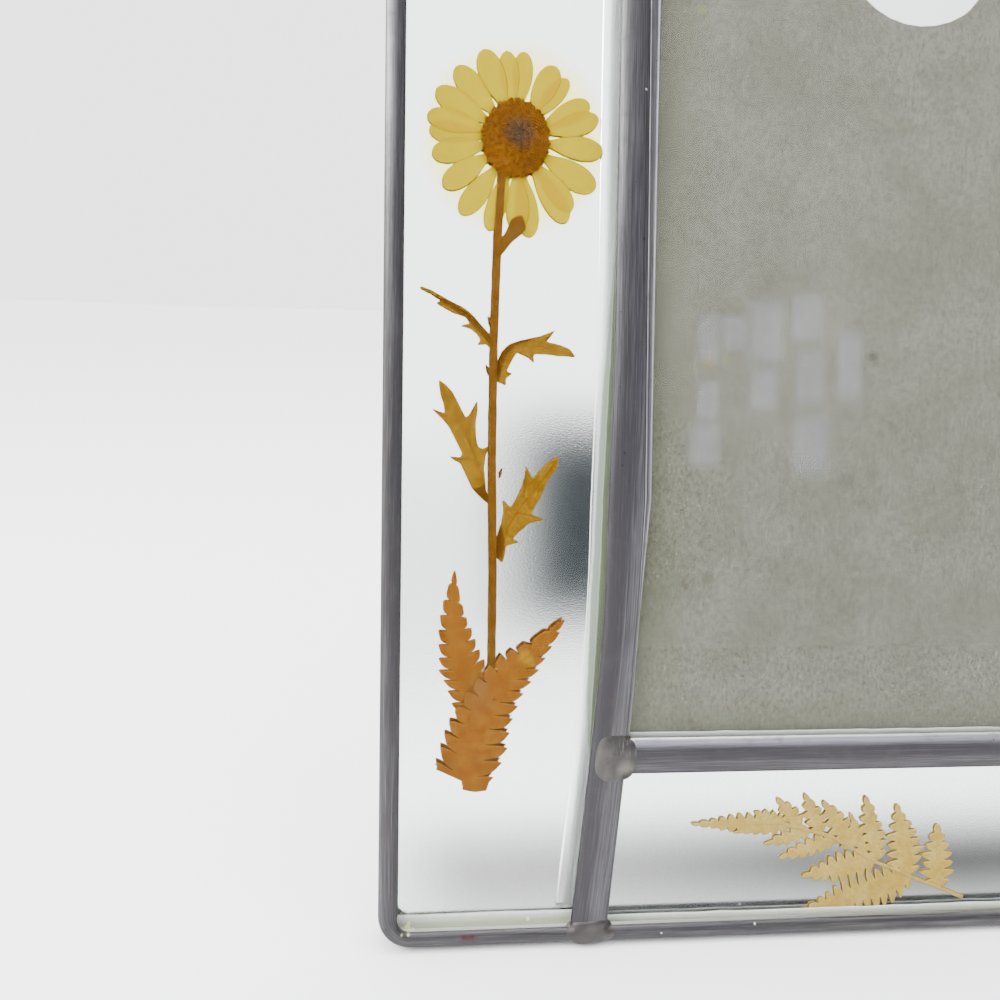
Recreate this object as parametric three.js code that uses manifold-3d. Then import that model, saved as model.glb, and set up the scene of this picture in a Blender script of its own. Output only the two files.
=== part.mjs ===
// A pressed flower photo frame: lead cames soldered round clear glass, a daisy and ferns pressed over
// silvered glass, a photo window with a chipboard back, and two bent wire legs to lean on.
//
// Millimetres, +Z up. The frame stands on the plane Z = 0 with its front towards -Y.
// Everything but the legs is drawn on the frame's own plane: seen from the front, u runs to the right
// from the frame's middle, v up from its bottom edge, and w backwards from the glass channel's front.
import * as THREE from 'three';
import { mergeVertices } from 'three/addons/utils/BufferGeometryUtils.js';
import Module from 'manifold-3d';

const wasm = await Module();
wasm.setup();

// ---- Driving dimensions
const FRAME_WIDTH = 128;
const FRAME_HEIGHT = 156.5;
const LEAN = THREE.MathUtils.degToRad(10);
const SETBACK = -31; // Y of the frame plane's foot
const LIFT = 0.7; // how far the foot of the front edge stands above the surface
const CLEARANCE = 0.3; // between pieces that touch

// Lead cames: leaves over the front and back of the glass, joined by a heart or an outer web
const CHANNEL = 5; // between the front and the back leaves
const CROWN = 1.1; // how far a rounded leaf stands proud
const LEAF_EDGE = 0.3; // a leaf's thickness at its edge
const BORDER_FACE = 3;
const BOTTOM_FACE = 2.2; // the bottom run covers less of the glass
const BORDER_WEB = 1;
const BORDER_ROUNDING = 0.9;
const CORNER_RADIUS = 5;
const CAME_FACE = 5.6;
const HEART = 1.5;
const CROSS_V = 28.7; // height of the horizontal came's middle

// The vertical came is bent by hand: upright above, slanting to the left below
const CAME_U = -27;
const CAME_SLANT = 0.1;
const BEND_V = 50;
const BEND_REACH = 6;

// The flattened lip on the came's window side
const LIP_WIDTH = 1.4;
const LIP_RIDGE = 0.5;
const LIP_VALLEY = 0.25;
const LIP_PATH = [[-23.8, 153.2], [-23.7, 110], [-23.7, 72], [-25.1, 52], [-26.5, 38]];

// Solder at the joints: name, middle u, middle v, half width, half height
const SOLDER_JOINTS = [
  ['middle', -28.9, 28.4, 4.4, 3.8],
  ['bottom', -31.7, 1.6, 3.3, 2.0],
  ['top', -27, 154.7, 3.3, 1.9],
  ['right', 61.3, 28.7, 2.3, 3.4],
];
const SOLDER_PROUD = 2.1;
const SOLDER_SINK = 0.6;

// Glass, silvered glass and board, from the front leaf backwards
const FRONT_GLASS = [0.25, 1.75];
const SILVERED_GLASS = [3.25, 4.75];
const BOARD = [2.6, 4.6];
const SILVER_EDGE = [[-29.2, 155.2], [-29.6, 121], [-30.8, 98], [-31.3, 80], [-31.8, 40], [-33, 1.3]];
const PHOTO_SLOT = [1.95, 4.7];
const NOTCH_RADIUS = 13;
const NOTCH_U = 19;
const NOTCH_V = 155.5;

// Pressed plants lie in three thin layers between the panes, the first nearest the silver
const LAYER_BACK = 3.1;
const LAYER_STEP = 0.4;
const PRESSED = 0.2; // thickness of a pressed leaf

const DAISY_U = -44.4;
const DAISY_V = 122.3;
const DISC_HALF_WIDTH = 5.1;
const DISC_HALF_HEIGHT = 5.8;
const DISC_TEETH = 24;
const DISC_TOOTH = 0.35;
const DISC_DOME = 0.4; // how far the dome bulges
const DISC_SINK = 0.1; // and how far its middle lies in front of the disc's back
// Each petal: direction in degrees, reach from the disc's middle, width
const PETALS = [
  [111, 14.0, 3.7], [97, 13.1, 2.9], [85, 13.1, 3.0], [61, 12.6, 3.6], [49, 12.2, 2.7],
  [28, 12.7, 3.4], [16, 13.2, 3.3], [-6, 13.5, 3.5], [-29, 14.2, 3.9], [-50, 13.6, 3.2],
  [-57, 14.6, 3.4], [-80, 14.8, 3.5], [-88, 13.8, 3.4], [-105, 14.3, 3.0], [-125, 14.1, 3.4],
  [-146, 13.2, 3.5], [-167, 12.9, 3.5], [176, 13.1, 3.2], [167, 13.7, 3.3], [150, 13.9, 3.6],
  [131, 13.8, 3.6],
];
const PETAL_ROOT = 3.4; // where a petal starts under the disc
const PETAL_NECK = 0.9; // its width there
// Places along a petal: its flare begins, its sides straighten, it is widest, its tip turns in
const PETAL_PLACES = [0.3, 0.55, 0.75, 0.93];
const RECEPTACLE_RADIUS = 4.4;

const STEM_WIDTH = 1.2;
const STEM = [[-46.5, 116], [-46.9, 108.4], [-47.3, 92.4], [-47.3, 73.8], [-47, 56.3], [-47, 40.4]];
const BRACT = [
  [-46.9, 104.2], [-45.9, 105.4], [-44.7, 107], [-42.6, 108.8], [-43.3, 111], [-44.8, 110.4],
  [-46, 107.8], [-46.8, 107.2],
];

// Leaf outlines, clockwise from the tip
const LEAVES = {
  leaf_upper_left: [
    [-58.6, 99.9], [-56.8, 99.3], [-54.2, 97.9], [-51.7, 96.7], [-50.3, 95.5], [-48.5, 93.5],
    [-47.2, 92.2], [-46.9, 91.2], [-47.2, 90.2], [-48.4, 91.4], [-49.8, 91.3], [-49.3, 92],
    [-49.7, 92.8], [-50.8, 93.7], [-52.4, 94.1], [-50.9, 94.5], [-51.7, 95.5], [-53.5, 96],
    [-54.6, 96.6], [-56.1, 97.4], [-55.4, 97.8], [-57, 98.8], [-58.4, 99.4],
  ],
  leaf_upper_right: [
    [-34.6, 89.8], [-37.2, 89.9], [-39, 90.1], [-41, 90.1], [-41.2, 89.6], [-41, 88.7],
    [-42, 89.6], [-43.7, 90.3], [-44.5, 89], [-45.3, 87.3], [-44.3, 87.1], [-45.4, 86.2],
    [-45.3, 85.2], [-46.9, 85.9], [-46.8, 88.6], [-46.1, 90.3], [-45.1, 91.4], [-43.3, 92.1],
    [-40.3, 92.8], [-37.8, 93.8], [-39.2, 92], [-37.2, 91.6], [-35.6, 91],
  ],
  leaf_lower_left: [
    [-55.6, 85.9], [-54.4, 85.1], [-53.4, 84], [-52.4, 82.1], [-51.4, 80.2], [-50.8, 80.8],
    [-49.7, 82.9], [-49.6, 81.3], [-49.9, 79.5], [-49.8, 77.2], [-49.4, 75.7], [-48.7, 75.5],
    [-47.5, 76.2], [-48.3, 74.6], [-48.5, 72.6], [-48.2, 69.3], [-47.2, 66.6], [-48.6, 67.7],
    [-50.3, 69.4], [-51.2, 71.3], [-52.2, 73.3], [-53.1, 73.7], [-53.9, 74.3], [-52.1, 74.2],
    [-51.9, 74.8], [-52.8, 76.6], [-53.9, 78.7], [-54.9, 79.9], [-56.6, 81.5], [-54.6, 80.8],
    [-54.8, 82.1], [-55.3, 83.7],
  ],
  leaf_lower_right: [
    [-36.9, 74.5], [-37.3, 72.7], [-38.7, 70.8], [-39.3, 69.1], [-40.2, 67.4], [-41.2, 65.6],
    [-40, 65.1], [-38.9, 64.8], [-41.5, 64.2], [-42.7, 63.1], [-44, 61.8], [-42.9, 61.3],
    [-45, 60.7], [-45.2, 59.3], [-45.5, 58], [-46.2, 58.6], [-46.8, 59.2], [-46.5, 61.8],
    [-45.8, 64], [-45.4, 65.8], [-45.6, 67.8], [-44.3, 66.6], [-43.5, 67.9], [-42.6, 70],
    [-42.2, 71.5], [-42.1, 73.1], [-41, 71], [-39.8, 72.4], [-38.4, 73.9],
  ],
};

// Fern pinnae: the midrib and both edges from the cut base to the tip, and the lobes on a side
const PINNA_LEFT = {
  midrib: [[-48.7, 35.4], [-50.1, 38.5], [-51.5, 42.2], [-52.5, 46.6], [-52.8, 51.8], [-52.8, 56.9]],
  left: [[-52.3, 35.1], [-53.5, 38.8], [-54.8, 42.4], [-55, 47], [-54.4, 52], [-52.9, 56.8]],
  right: [[-46.4, 37.5], [-47.2, 40.6], [-48.8, 43.7], [-50.2, 47.4], [-51.6, 51.3], [-52.7, 56.8]],
  lobes: 11,
};
const PINNA_RIGHT = {
  midrib: [
    [-51.2, 23.1], [-50.6, 28.3], [-49.3, 33.5], [-47.3, 37.9], [-44.2, 41.3], [-40.4, 44.8], [-35.9, 49.4],
  ],
  left: [
    [-55.5, 25.9], [-54.3, 30.5], [-52.5, 34.7], [-49.6, 39.5], [-45.8, 43.5], [-42, 45.6], [-36, 49.5],
  ],
  right: [
    [-47.5, 23.6], [-45.5, 28], [-44.2, 33], [-42.8, 37.3], [-40.2, 41.3], [-37.9, 45.2], [-35.8, 49.3],
  ],
  lobes: 13,
};
// The frond's tip and its side pinnae, upper then lower: base, tip, half width
const FROND_PINNAE = [
  [[0.1, 16.5], [-14.8, 16.6], 1.4],
  [[0.3, 16.3], [-4.5, 18.3], 1.2], [[3, 15.7], [-0.8, 20.5], 1.5], [[6.6, 14.6], [3.8, 21.1], 1.6],
  [[12.1, 12.2], [6.9, 19.8], 2.1], [[14, 10.9], [11.5, 17.8], 1.1], [[16.2, 10], [14, 20.5], 1.9],
  [[21.6, 7.3], [19.4, 19], 2.6], [[26.6, 5.1], [26.4, 15.6], 2.5],
  [[1.3, 15.9], [-8, 15.1], 0.9], [[4.7, 15.1], [-2.8, 13], 1.2], [[8.9, 13.6], [-0.2, 10.7], 1.5],
  [[15.5, 9.9], [3.7, 7.6], 2.4], [[22, 7], [3.9, 1.8], 3],
];
const FROND_TAPER = [0.5, 1, 1, 0.8, 0.5, 0.1]; // share of the half width, from base to tip
const FROND_LOBES = 3;
const RACHIS_WIDTH = 0.6;
const RACHIS = [
  [-6, 16.7], [0.1, 16.4], [3.8, 15.3], [8, 14.2], [12.3, 11.8], [15.7, 9.8], [24, 6.2], [31, 3.4],
];
// A lobe's points: place along the lobe, share of the way from the midrib to the edge
const LOBE = [[0, 0.62], [0.3, 0.95], [0.85, 1]];

// Wire legs, soldered to the back of the vertical came and of the right border
const WIRE_RADIUS = 1.1;
const LEG_U = { easel_leg_left: CAME_U, easel_leg_right: 62 };
const LEG_TOP_V = 108;
const LEG_BEND_V = 93;
const LEG_BEND = 7;
const LEG_FOOT = 9;
const LEG_SOLDER = [1.9, 1.9, 7]; // half sizes of the solder round a leg's top

// ---- How finely the shapes are faceted
const CROWN_STEPS = 6;
const CORNER_STEPS = 4;
const BORDER_BEVEL_STEPS = 2;
const CAME_STEPS = 18;
const LIP_STEPS = 12;
const LEG_STEPS = 18;
const WIRE_SIDES = 8;
const EDGE_STEPS = 9;
const PETAL_STEPS = 3;
const RIBBON_STEPS = 3; // for each point of a strip's line
const NOTCH_STEPS = 16;
const BLOB_ROUND = 12;
const BLOB_RINGS = 6;
const WELD = 1e-4;

// ---- Colours and finishes
const finish = (color, roughness, metalness) =>
  new THREE.MeshStandardMaterial({ color, roughness, metalness });
const LEAD = () => finish(0x7c7e82, 0.45, 0.9);
const SOLDER = () => finish(0x86827c, 0.5, 0.85);
const WIRE = () => finish(0x8d8a86, 0.35, 0.9);
const CLEAR_GLASS = () => finish(0xdfeee4, 0.03, 0);
const SILVER = () => finish(0xd9dade, 0.25, 0.9);
const CHIPBOARD = () => finish(0x96948a, 0.9, 0);
const PETAL = () => finish(0xe8c828, 0.7, 0);
const DISC = () => finish(0x804614, 0.9, 0);
const STALK = () => finish(0x9a6224, 0.75, 0);
const LEAF = () => finish(0x9c7426, 0.8, 0);
const FERN = () => finish(0xc47a34, 0.8, 0);
const STRAW = () => finish(0xd4b56e, 0.8, 0);

// ---- The frame plane's place in the part
const panel = new THREE.Group();
panel.position.set(0, SETBACK, LIFT);
panel.rotation.x = -LEAN;
panel.updateMatrix();
const panelPoint = (u, v, w) => new THREE.Vector3(u, w, v).applyMatrix4(panel.matrix);

// ---- Solids: joining and cutting
function toSolid(geometry) {
  const bare = geometry.clone();
  bare.deleteAttribute('normal');
  bare.deleteAttribute('uv');
  const welded = mergeVertices(bare, WELD);
  return new wasm.Manifold(
    new wasm.Mesh({
      numProp: 3,
      vertProperties: welded.attributes.position.array,
      triVerts: new Uint32Array(welded.index.array),
    }),
  );
}

function toGeometry(solid) {
  const mesh = solid.getMesh();
  const geometry = new THREE.BufferGeometry();
  geometry.setAttribute('position', new THREE.BufferAttribute(mesh.vertProperties, 3));
  geometry.setIndex(new THREE.BufferAttribute(mesh.triVerts, 1));
  const faceted = geometry.toNonIndexed();
  faceted.computeVertexNormals();
  return faceted;
}

const join = (solids) => solids.reduce((whole, solid) => whole.add(solid));
const cut = (solid, cutters) => cutters.reduce((rest, cutter) => rest.subtract(cutter), solid);

function largestBody(solid) {
  const bodies = solid.decompose();
  return bodies.reduce((a, b) => (b.volume() > a.volume() ? b : a));
}

// ---- Flat shapes on the frame plane
const shapeOf = (points) => new THREE.Shape(points.map(([u, v]) => new THREE.Vector2(u, v)));

function rectangle(left, bottom, right, top) {
  return shapeOf([[left, bottom], [right, bottom], [right, top], [left, top]]);
}

// The frame's outline drawn in by inset, and by bottom along its foot
function roundedOutline(inset, bottom = inset) {
  const side = FRAME_WIDTH / 2 - inset;
  const top = FRAME_HEIGHT - inset;
  const radius = CORNER_RADIUS - inset;
  const shape = new THREE.Shape();
  shape.absarc(side - radius, bottom + radius, radius, -Math.PI / 2, 0);
  shape.absarc(side - radius, top - radius, radius, 0, Math.PI / 2);
  shape.absarc(radius - side, top - radius, radius, Math.PI / 2, Math.PI);
  shape.absarc(radius - side, bottom + radius, radius, Math.PI, Math.PI * 1.5);
  return shape;
}

// A rectangle that covers the whole frame, for cutting
const everywhere = () => rectangle(-FRAME_WIDTH, -FRAME_WIDTH, FRAME_WIDTH, 2 * FRAME_WIDTH);

const splineOf = (points) => new THREE.SplineCurve(points.map(([u, v]) => new THREE.Vector2(u, v)));

// A plate with the shape's outline from w = front to w = back, its edges rounded by rounding
function plate(shape, front, back, rounding = 0, height = 0, curveSegments = CORNER_STEPS) {
  const geometry = new THREE.ExtrudeGeometry(shape, {
    depth: back - front - 2 * height,
    bevelEnabled: rounding > 0,
    bevelSize: rounding,
    bevelOffset: -rounding,
    bevelThickness: height,
    bevelSegments: BORDER_BEVEL_STEPS,
    curveSegments,
  });
  geometry.rotateX(Math.PI / 2);
  geometry.translate(0, back - height, 0);
  return toSolid(geometry);
}

// ---- Lead cames
// A came's cross-section: each point is how far to the right of its path, and w
const section = (points) => shapeOf(points.map(([across, w]) => [-w, across]));

function crownPoints(half, height, from, to) {
  const points = [];
  for (let i = 0; i <= CROWN_STEPS; i++) {
    const angle = THREE.MathUtils.lerp(from, to, i / CROWN_STEPS);
    points.push([half * Math.cos(angle), height * Math.sin(angle)]);
  }
  return points;
}

function cameSection(grow) {
  const half = CAME_FACE / 2 + grow;
  const height = CROWN + grow - LEAF_EDGE;
  const front = crownPoints(half, height, Math.PI, 0).map(([a, rise]) => [a, -LEAF_EDGE - rise]);
  const back = crownPoints(half, height, 0, Math.PI).map(([a, rise]) => [a, CHANNEL + LEAF_EDGE + rise]);
  const rightSide = [[half, 0], [HEART / 2, 0], [HEART / 2, CHANNEL], [half, CHANNEL]];
  const leftSide = rightSide.map(([across, w]) => [-across, w]).reverse();
  return section([...front, ...rightSide, ...back, ...leftSide]);
}

const sweep = (shape, path, steps) =>
  toSolid(new THREE.ExtrudeGeometry(shape, { steps, extrudePath: path }));

const cameCentre = (v) =>
  CAME_U - CAME_SLANT * BEND_REACH * Math.log(1 + Math.exp((BEND_V - v) / BEND_REACH));

class BentCamePath extends THREE.Curve {
  constructor(low, high) {
    super();
    this.low = low;
    this.high = high;
  }

  getPoint(t) {
    const v = THREE.MathUtils.lerp(this.low, this.high, t);
    return new THREE.Vector3(cameCentre(v), 0, v);
  }
}

function cameLip() {
  const half = LIP_WIDTH / 2;
  const profile = section([
    [-half - CROWN, -LEAF_EDGE], [-half, -LIP_RIDGE], [-half + LIP_RIDGE, -LIP_VALLEY],
    [half - LIP_RIDGE, -LIP_VALLEY], [half - LIP_VALLEY / 2, -LIP_RIDGE], [half, -LIP_VALLEY],
    [half, 0], [-half - CROWN, 0],
  ]);
  const path = new THREE.CatmullRomCurve3(
    [...LIP_PATH].reverse().map(([u, v]) => new THREE.Vector3(u, 0, v)),
  );
  return sweep(profile, path, LIP_STEPS);
}

function verticalCame(grow = 0) {
  const low = BOTTOM_FACE + CLEARANCE - grow;
  const high = FRAME_HEIGHT - BORDER_FACE - CLEARANCE + grow;
  const body = sweep(cameSection(grow), new BentCamePath(low, high), CAME_STEPS);
  return grow ? body : body.add(cameLip());
}

function horizontalCame(grow = 0) {
  const start = cameCentre(CROSS_V + CAME_FACE / 2) + CAME_FACE / 2 + CLEARANCE - grow;
  const end = FRAME_WIDTH / 2 - BORDER_FACE - CLEARANCE + grow;
  const geometry = new THREE.ExtrudeGeometry(cameSection(grow), {
    depth: end - start,
    bevelEnabled: false,
  });
  const forwards = new THREE.Vector3(0, -1, 0);
  const down = new THREE.Vector3(0, 0, -1);
  const right = new THREE.Vector3(1, 0, 0);
  const lie = new THREE.Matrix4().makeBasis(forwards, down, right).setPosition(start, 0, CROSS_V);
  return toSolid(geometry.applyMatrix4(lie));
}

function borderRing(grow, face, bottomFace = face) {
  const shape = roundedOutline(-grow);
  shape.holes.push(roundedOutline(face + grow, bottomFace + grow));
  return shape;
}

function borderCame(grow = 0) {
  const leaf = borderRing(grow, BORDER_FACE, BOTTOM_FACE);
  const rise = CROWN + grow;
  const body = join([
    plate(leaf, -rise, rise, BORDER_ROUNDING, rise - LEAF_EDGE),
    plate(borderRing(grow, BORDER_WEB), 0, CHANNEL),
    plate(leaf, CHANNEL - rise, CHANNEL + rise, BORDER_ROUNDING, rise - LEAF_EDGE),
  ]);
  return cut(body, [plate(roundedOutline(BORDER_WEB), 0, CHANNEL)]);
}

// What lies below the surface that the frame stands on, in the frame plane's own axes
function belowSurface() {
  const depth = 20;
  const block = new THREE.BoxGeometry(2 * FRAME_WIDTH, FRAME_WIDTH, depth);
  block.translate(0, 0, -depth / 2);
  block.applyMatrix4(panel.matrix.clone().invert());
  return toSolid(block);
}

// The border: its foot is worn flat where it stands, and the photo slides in by a slot in its top
function finishedBorder() {
  const slot = rectangle(
    cameCentre(FRAME_HEIGHT) + CAME_FACE, FRAME_HEIGHT - 2 * BORDER_WEB,
    FRAME_WIDTH / 2 - BORDER_FACE, FRAME_HEIGHT + BORDER_WEB,
  );
  return cut(borderCame(), [belowSurface(), plate(slot, ...PHOTO_SLOT)]);
}

// ---- Solder joints, each a lump that hugs the cames' leaves
function solderJoint([, u, v, halfWidth, halfHeight], back, cames) {
  const lump = new THREE.SphereGeometry(1, BLOB_ROUND, BLOB_RINGS);
  const middle = back ? CHANNEL + SOLDER_SINK : -SOLDER_SINK;
  lump.scale(halfWidth, SOLDER_PROUD - SOLDER_SINK, halfHeight);
  lump.translate(u, middle, v);
  const outer = toSolid(lump).subtract(plate(everywhere(), 0, CHANNEL));
  const farSide = back ? plate(everywhere(), -CHANNEL, 0) : plate(everywhere(), CHANNEL, 2 * CHANNEL);
  return largestBody(cut(outer, [farSide, belowSurface(), ...cames]));
}

// ---- Glass and board
function edgeAlongCame(side, low, high) {
  const points = [];
  for (let i = 0; i <= EDGE_STEPS; i++) {
    const v = THREE.MathUtils.lerp(low, high, i / EDGE_STEPS);
    points.push([cameCentre(v) + side * (HEART / 2 + CLEARANCE), v]);
  }
  return points;
}

const PANE_SIDE = FRAME_WIDTH / 2 - BORDER_WEB - CLEARANCE;
const PANE_BOTTOM = BORDER_WEB + CLEARANCE;
const PANE_TOP = FRAME_HEIGHT - BORDER_WEB - CLEARANCE;
const CROSS_HALF = HEART / 2 + CLEARANCE;

function leftPane() {
  const edge = edgeAlongCame(-1, PANE_BOTTOM, PANE_TOP);
  return shapeOf([...edge, [-PANE_SIDE, PANE_TOP], [-PANE_SIDE, PANE_BOTTOM]]);
}

const leftSilver = () => shapeOf([...SILVER_EDGE, [-PANE_SIDE, PANE_BOTTOM], [-PANE_SIDE, PANE_TOP]]);

function rightPane(bottom, top) {
  return shapeOf([...edgeAlongCame(1, bottom, top).reverse(), [PANE_SIDE, bottom], [PANE_SIDE, top]]);
}

const bottomPane = () => rightPane(PANE_BOTTOM, CROSS_V - CROSS_HALF);
const windowPane = () => rightPane(CROSS_V + CROSS_HALF, PANE_TOP);

// What of a solid lies clear of the border's web
const withinBorder = (solid) => solid.intersect(plate(roundedOutline(PANE_BOTTOM), 0, CHANNEL));

const sheet = (shape, [front, back]) => withinBorder(plate(shape, front, back));

function backingBoard() {
  const thumb = new THREE.Shape();
  thumb.absarc(NOTCH_U, NOTCH_V, NOTCH_RADIUS, 0, Math.PI * 2);
  const notch = plate(thumb, BOARD[0] - CLEARANCE, BOARD[1] + CLEARANCE, 0, 0, NOTCH_STEPS);
  return sheet(windowPane(), BOARD).subtract(notch);
}

// ---- Pressed plants
function pressed(shape, layer) {
  const back = LAYER_BACK - layer * LAYER_STEP;
  return plate(shape, back - PRESSED, back, 0, 0, PETAL_STEPS);
}

function petalShape([degrees, reach, width]) {
  const half = width / 2;
  const length = reach - PETAL_ROOT;
  const [flare, straight, widest, turn] = PETAL_PLACES.map((place) => place * length);
  const shape = new THREE.Shape();
  shape.moveTo(0, -PETAL_NECK / 2);
  shape.bezierCurveTo(flare, -half, straight, -half, widest, -half);
  shape.bezierCurveTo(turn, -half, length, -half / 2, length, 0);
  shape.bezierCurveTo(length, half / 2, turn, half, widest, half);
  shape.bezierCurveTo(straight, half, flare, half, 0, PETAL_NECK / 2);
  const heading = THREE.MathUtils.degToRad(degrees);
  const place = ({ x, y }) => [
    DAISY_U + (x + PETAL_ROOT) * Math.cos(heading) - y * Math.sin(heading),
    DAISY_V + (x + PETAL_ROOT) * Math.sin(heading) + y * Math.cos(heading),
  ];
  return shapeOf(shape.getPoints(PETAL_STEPS).map(place));
}

function daisyPetals() {
  const receptacle = new THREE.Shape();
  receptacle.absarc(DAISY_U, DAISY_V, RECEPTACLE_RADIUS, 0, Math.PI * 2);
  const petals = PETALS.map((petal) => pressed(petalShape(petal), 0));
  return join([pressed(receptacle, 0), ...petals]);
}

// The flower's middle: a low dome over a fringe of florets
function daisyDisc() {
  const fringe = [];
  for (let i = 0; i < 2 * DISC_TEETH; i++) {
    const angle = (Math.PI * i) / DISC_TEETH;
    const trim = (i % 2) * DISC_TOOTH;
    fringe.push([
      DAISY_U + (DISC_HALF_WIDTH - trim) * Math.cos(angle),
      DAISY_V + (DISC_HALF_HEIGHT - trim) * Math.sin(angle),
    ]);
  }
  const back = LAYER_BACK - PRESSED - CLEARANCE;
  const dome = new THREE.SphereGeometry(1, DISC_TEETH, BLOB_RINGS);
  dome.scale(DISC_HALF_WIDTH - DISC_TOOTH, DISC_DOME, DISC_HALF_HEIGHT - DISC_TOOTH);
  dome.translate(DAISY_U, back - DISC_SINK, DAISY_V);
  const rim = plate(shapeOf(fringe), back - PRESSED, back);
  return toSolid(dome).subtract(plate(everywhere(), back, back + CHANNEL)).add(rim);
}

// A strip of the given width along a bent line
function ribbon(points, width) {
  const curve = splineOf(points);
  const left = [];
  const right = [];
  const steps = RIBBON_STEPS * points.length;
  for (let i = 0; i <= steps; i++) {
    const { x, y } = curve.getPoint(i / steps);
    const tangent = curve.getTangent(i / steps);
    left.push([x - (tangent.y * width) / 2, y + (tangent.x * width) / 2]);
    right.push([x + (tangent.y * width) / 2, y - (tangent.x * width) / 2]);
  }
  return shapeOf([...right, ...left.reverse()]);
}

const daisyStem = () => pressed(ribbon(STEM, STEM_WIDTH), 1).add(pressed(shapeOf(BRACT), 1));

// Lobes that lean towards the tip, stepping along one edge of a pinna
function lobedEdge(midrib, edge, lobes) {
  const points = [];
  for (let i = 0; i < lobes; i++) {
    for (const [place, share] of LOBE) {
      const t = (i + place) / lobes;
      const { x, y } = midrib.getPoint(t).lerp(edge.getPoint(t), share);
      points.push([x, y]);
    }
  }
  return points;
}

function pinnaShape({ midrib, left, right, lobes }) {
  const middle = splineOf(midrib);
  const rightLobes = lobedEdge(middle, splineOf(right), lobes);
  const leftLobes = lobedEdge(middle, splineOf(left), lobes);
  return shapeOf([...rightLobes, midrib[midrib.length - 1], ...leftLobes.reverse()]);
}

// The tapering edge of a straight pinna, half to the left of its midrib
function taperedEdge(base, tip, half) {
  const [start, end] = [base, tip].map(([u, v]) => new THREE.Vector2(u, v));
  const ahead = end.clone().sub(start).normalize();
  const across = new THREE.Vector2(-ahead.y, ahead.x);
  return FROND_TAPER.map((share, i) => {
    const point = start.clone().lerp(end, i / (FROND_TAPER.length - 1));
    const { x, y } = point.addScaledVector(across, share * half);
    return [x, y];
  });
}

function frondPinna([base, tip, half]) {
  return pinnaShape({
    midrib: [base, tip],
    left: taperedEdge(base, tip, half),
    right: taperedEdge(base, tip, -half),
    lobes: FROND_LOBES,
  });
}

function frond() {
  const shapes = [ribbon(RACHIS, RACHIS_WIDTH), ...FROND_PINNAE.map(frondPinna)];
  return withinBorder(join(shapes.map((shape) => pressed(shape, 0))));
}

// ---- Wire legs
// A line through the points, its corners rounded over the given reach
function bentLine(points, reach) {
  const path = new THREE.CurvePath();
  let start = points[0];
  for (let i = 1; i < points.length - 1; i++) {
    const corner = points[i];
    const before = corner.clone().add(points[i - 1].clone().sub(corner).setLength(reach));
    const after = corner.clone().add(points[i + 1].clone().sub(corner).setLength(reach));
    path.add(new THREE.LineCurve3(start, before));
    path.add(new THREE.QuadraticBezierCurve3(before, corner, after));
    start = after;
  }
  path.add(new THREE.LineCurve3(start, points[points.length - 1]));
  return path;
}

function easelLeg(u, toeY) {
  const behind = CHANNEL + CROWN + CLEARANCE;
  const top = panelPoint(u, LEG_TOP_V, behind + WIRE_RADIUS);
  const bend = panelPoint(u, LEG_BEND_V, behind + WIRE_RADIUS);
  const heel = new THREE.Vector3(u, toeY - LEG_FOOT, WIRE_RADIUS);
  const toe = new THREE.Vector3(u, toeY, WIRE_RADIUS);
  const corners = [];
  for (let i = 0; i < WIRE_SIDES; i++) {
    const angle = ((i + 0.5) * 2 * Math.PI) / WIRE_SIDES;
    const radius = WIRE_RADIUS / Math.cos(Math.PI / WIRE_SIDES);
    corners.push([radius * Math.cos(angle), radius * Math.sin(angle)]);
  }
  const wire = sweep(shapeOf(corners), bentLine([top, bend, heel, toe], LEG_BEND), LEG_STEPS);
  const solder = new THREE.SphereGeometry(1, BLOB_ROUND, BLOB_RINGS);
  solder.scale(...LEG_SOLDER);
  solder.translate(u, behind + WIRE_RADIUS / 2, (LEG_TOP_V + LEG_BEND_V) / 2);
  const lump = toSolid(solder).subtract(plate(everywhere(), 0, behind));
  return wire.add(lump.transform(panel.matrix.toArray()));
}

// ---- Assembly
const frame = new THREE.Group();
frame.add(panel);

function addPiece(group, name, solid, material) {
  const mesh = new THREE.Mesh(toGeometry(solid), material);
  mesh.name = name;
  group.add(mesh);
}

addPiece(panel, 'border_came', finishedBorder(), LEAD());
addPiece(panel, 'vertical_came', verticalCame(), LEAD());
addPiece(panel, 'horizontal_came', horizontalCame(), LEAD());

const nearbyCames = [borderCame(CLEARANCE), verticalCame(CLEARANCE), horizontalCame(CLEARANCE)];
for (const joint of SOLDER_JOINTS) {
  addPiece(panel, `solder_${joint[0]}_front`, solderJoint(joint, false, nearbyCames), SOLDER());
  addPiece(panel, `solder_${joint[0]}_back`, solderJoint(joint, true, nearbyCames), SOLDER());
}

addPiece(panel, 'left_glass', sheet(leftPane(), FRONT_GLASS), CLEAR_GLASS());
addPiece(panel, 'left_silvered_glass', sheet(leftSilver(), SILVERED_GLASS), SILVER());
addPiece(panel, 'bottom_glass', sheet(bottomPane(), FRONT_GLASS), CLEAR_GLASS());
addPiece(panel, 'bottom_silvered_glass', sheet(bottomPane(), SILVERED_GLASS), SILVER());
addPiece(panel, 'window_glass', sheet(windowPane(), FRONT_GLASS), CLEAR_GLASS());
addPiece(panel, 'photo_backing_board', backingBoard(), CHIPBOARD());

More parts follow.
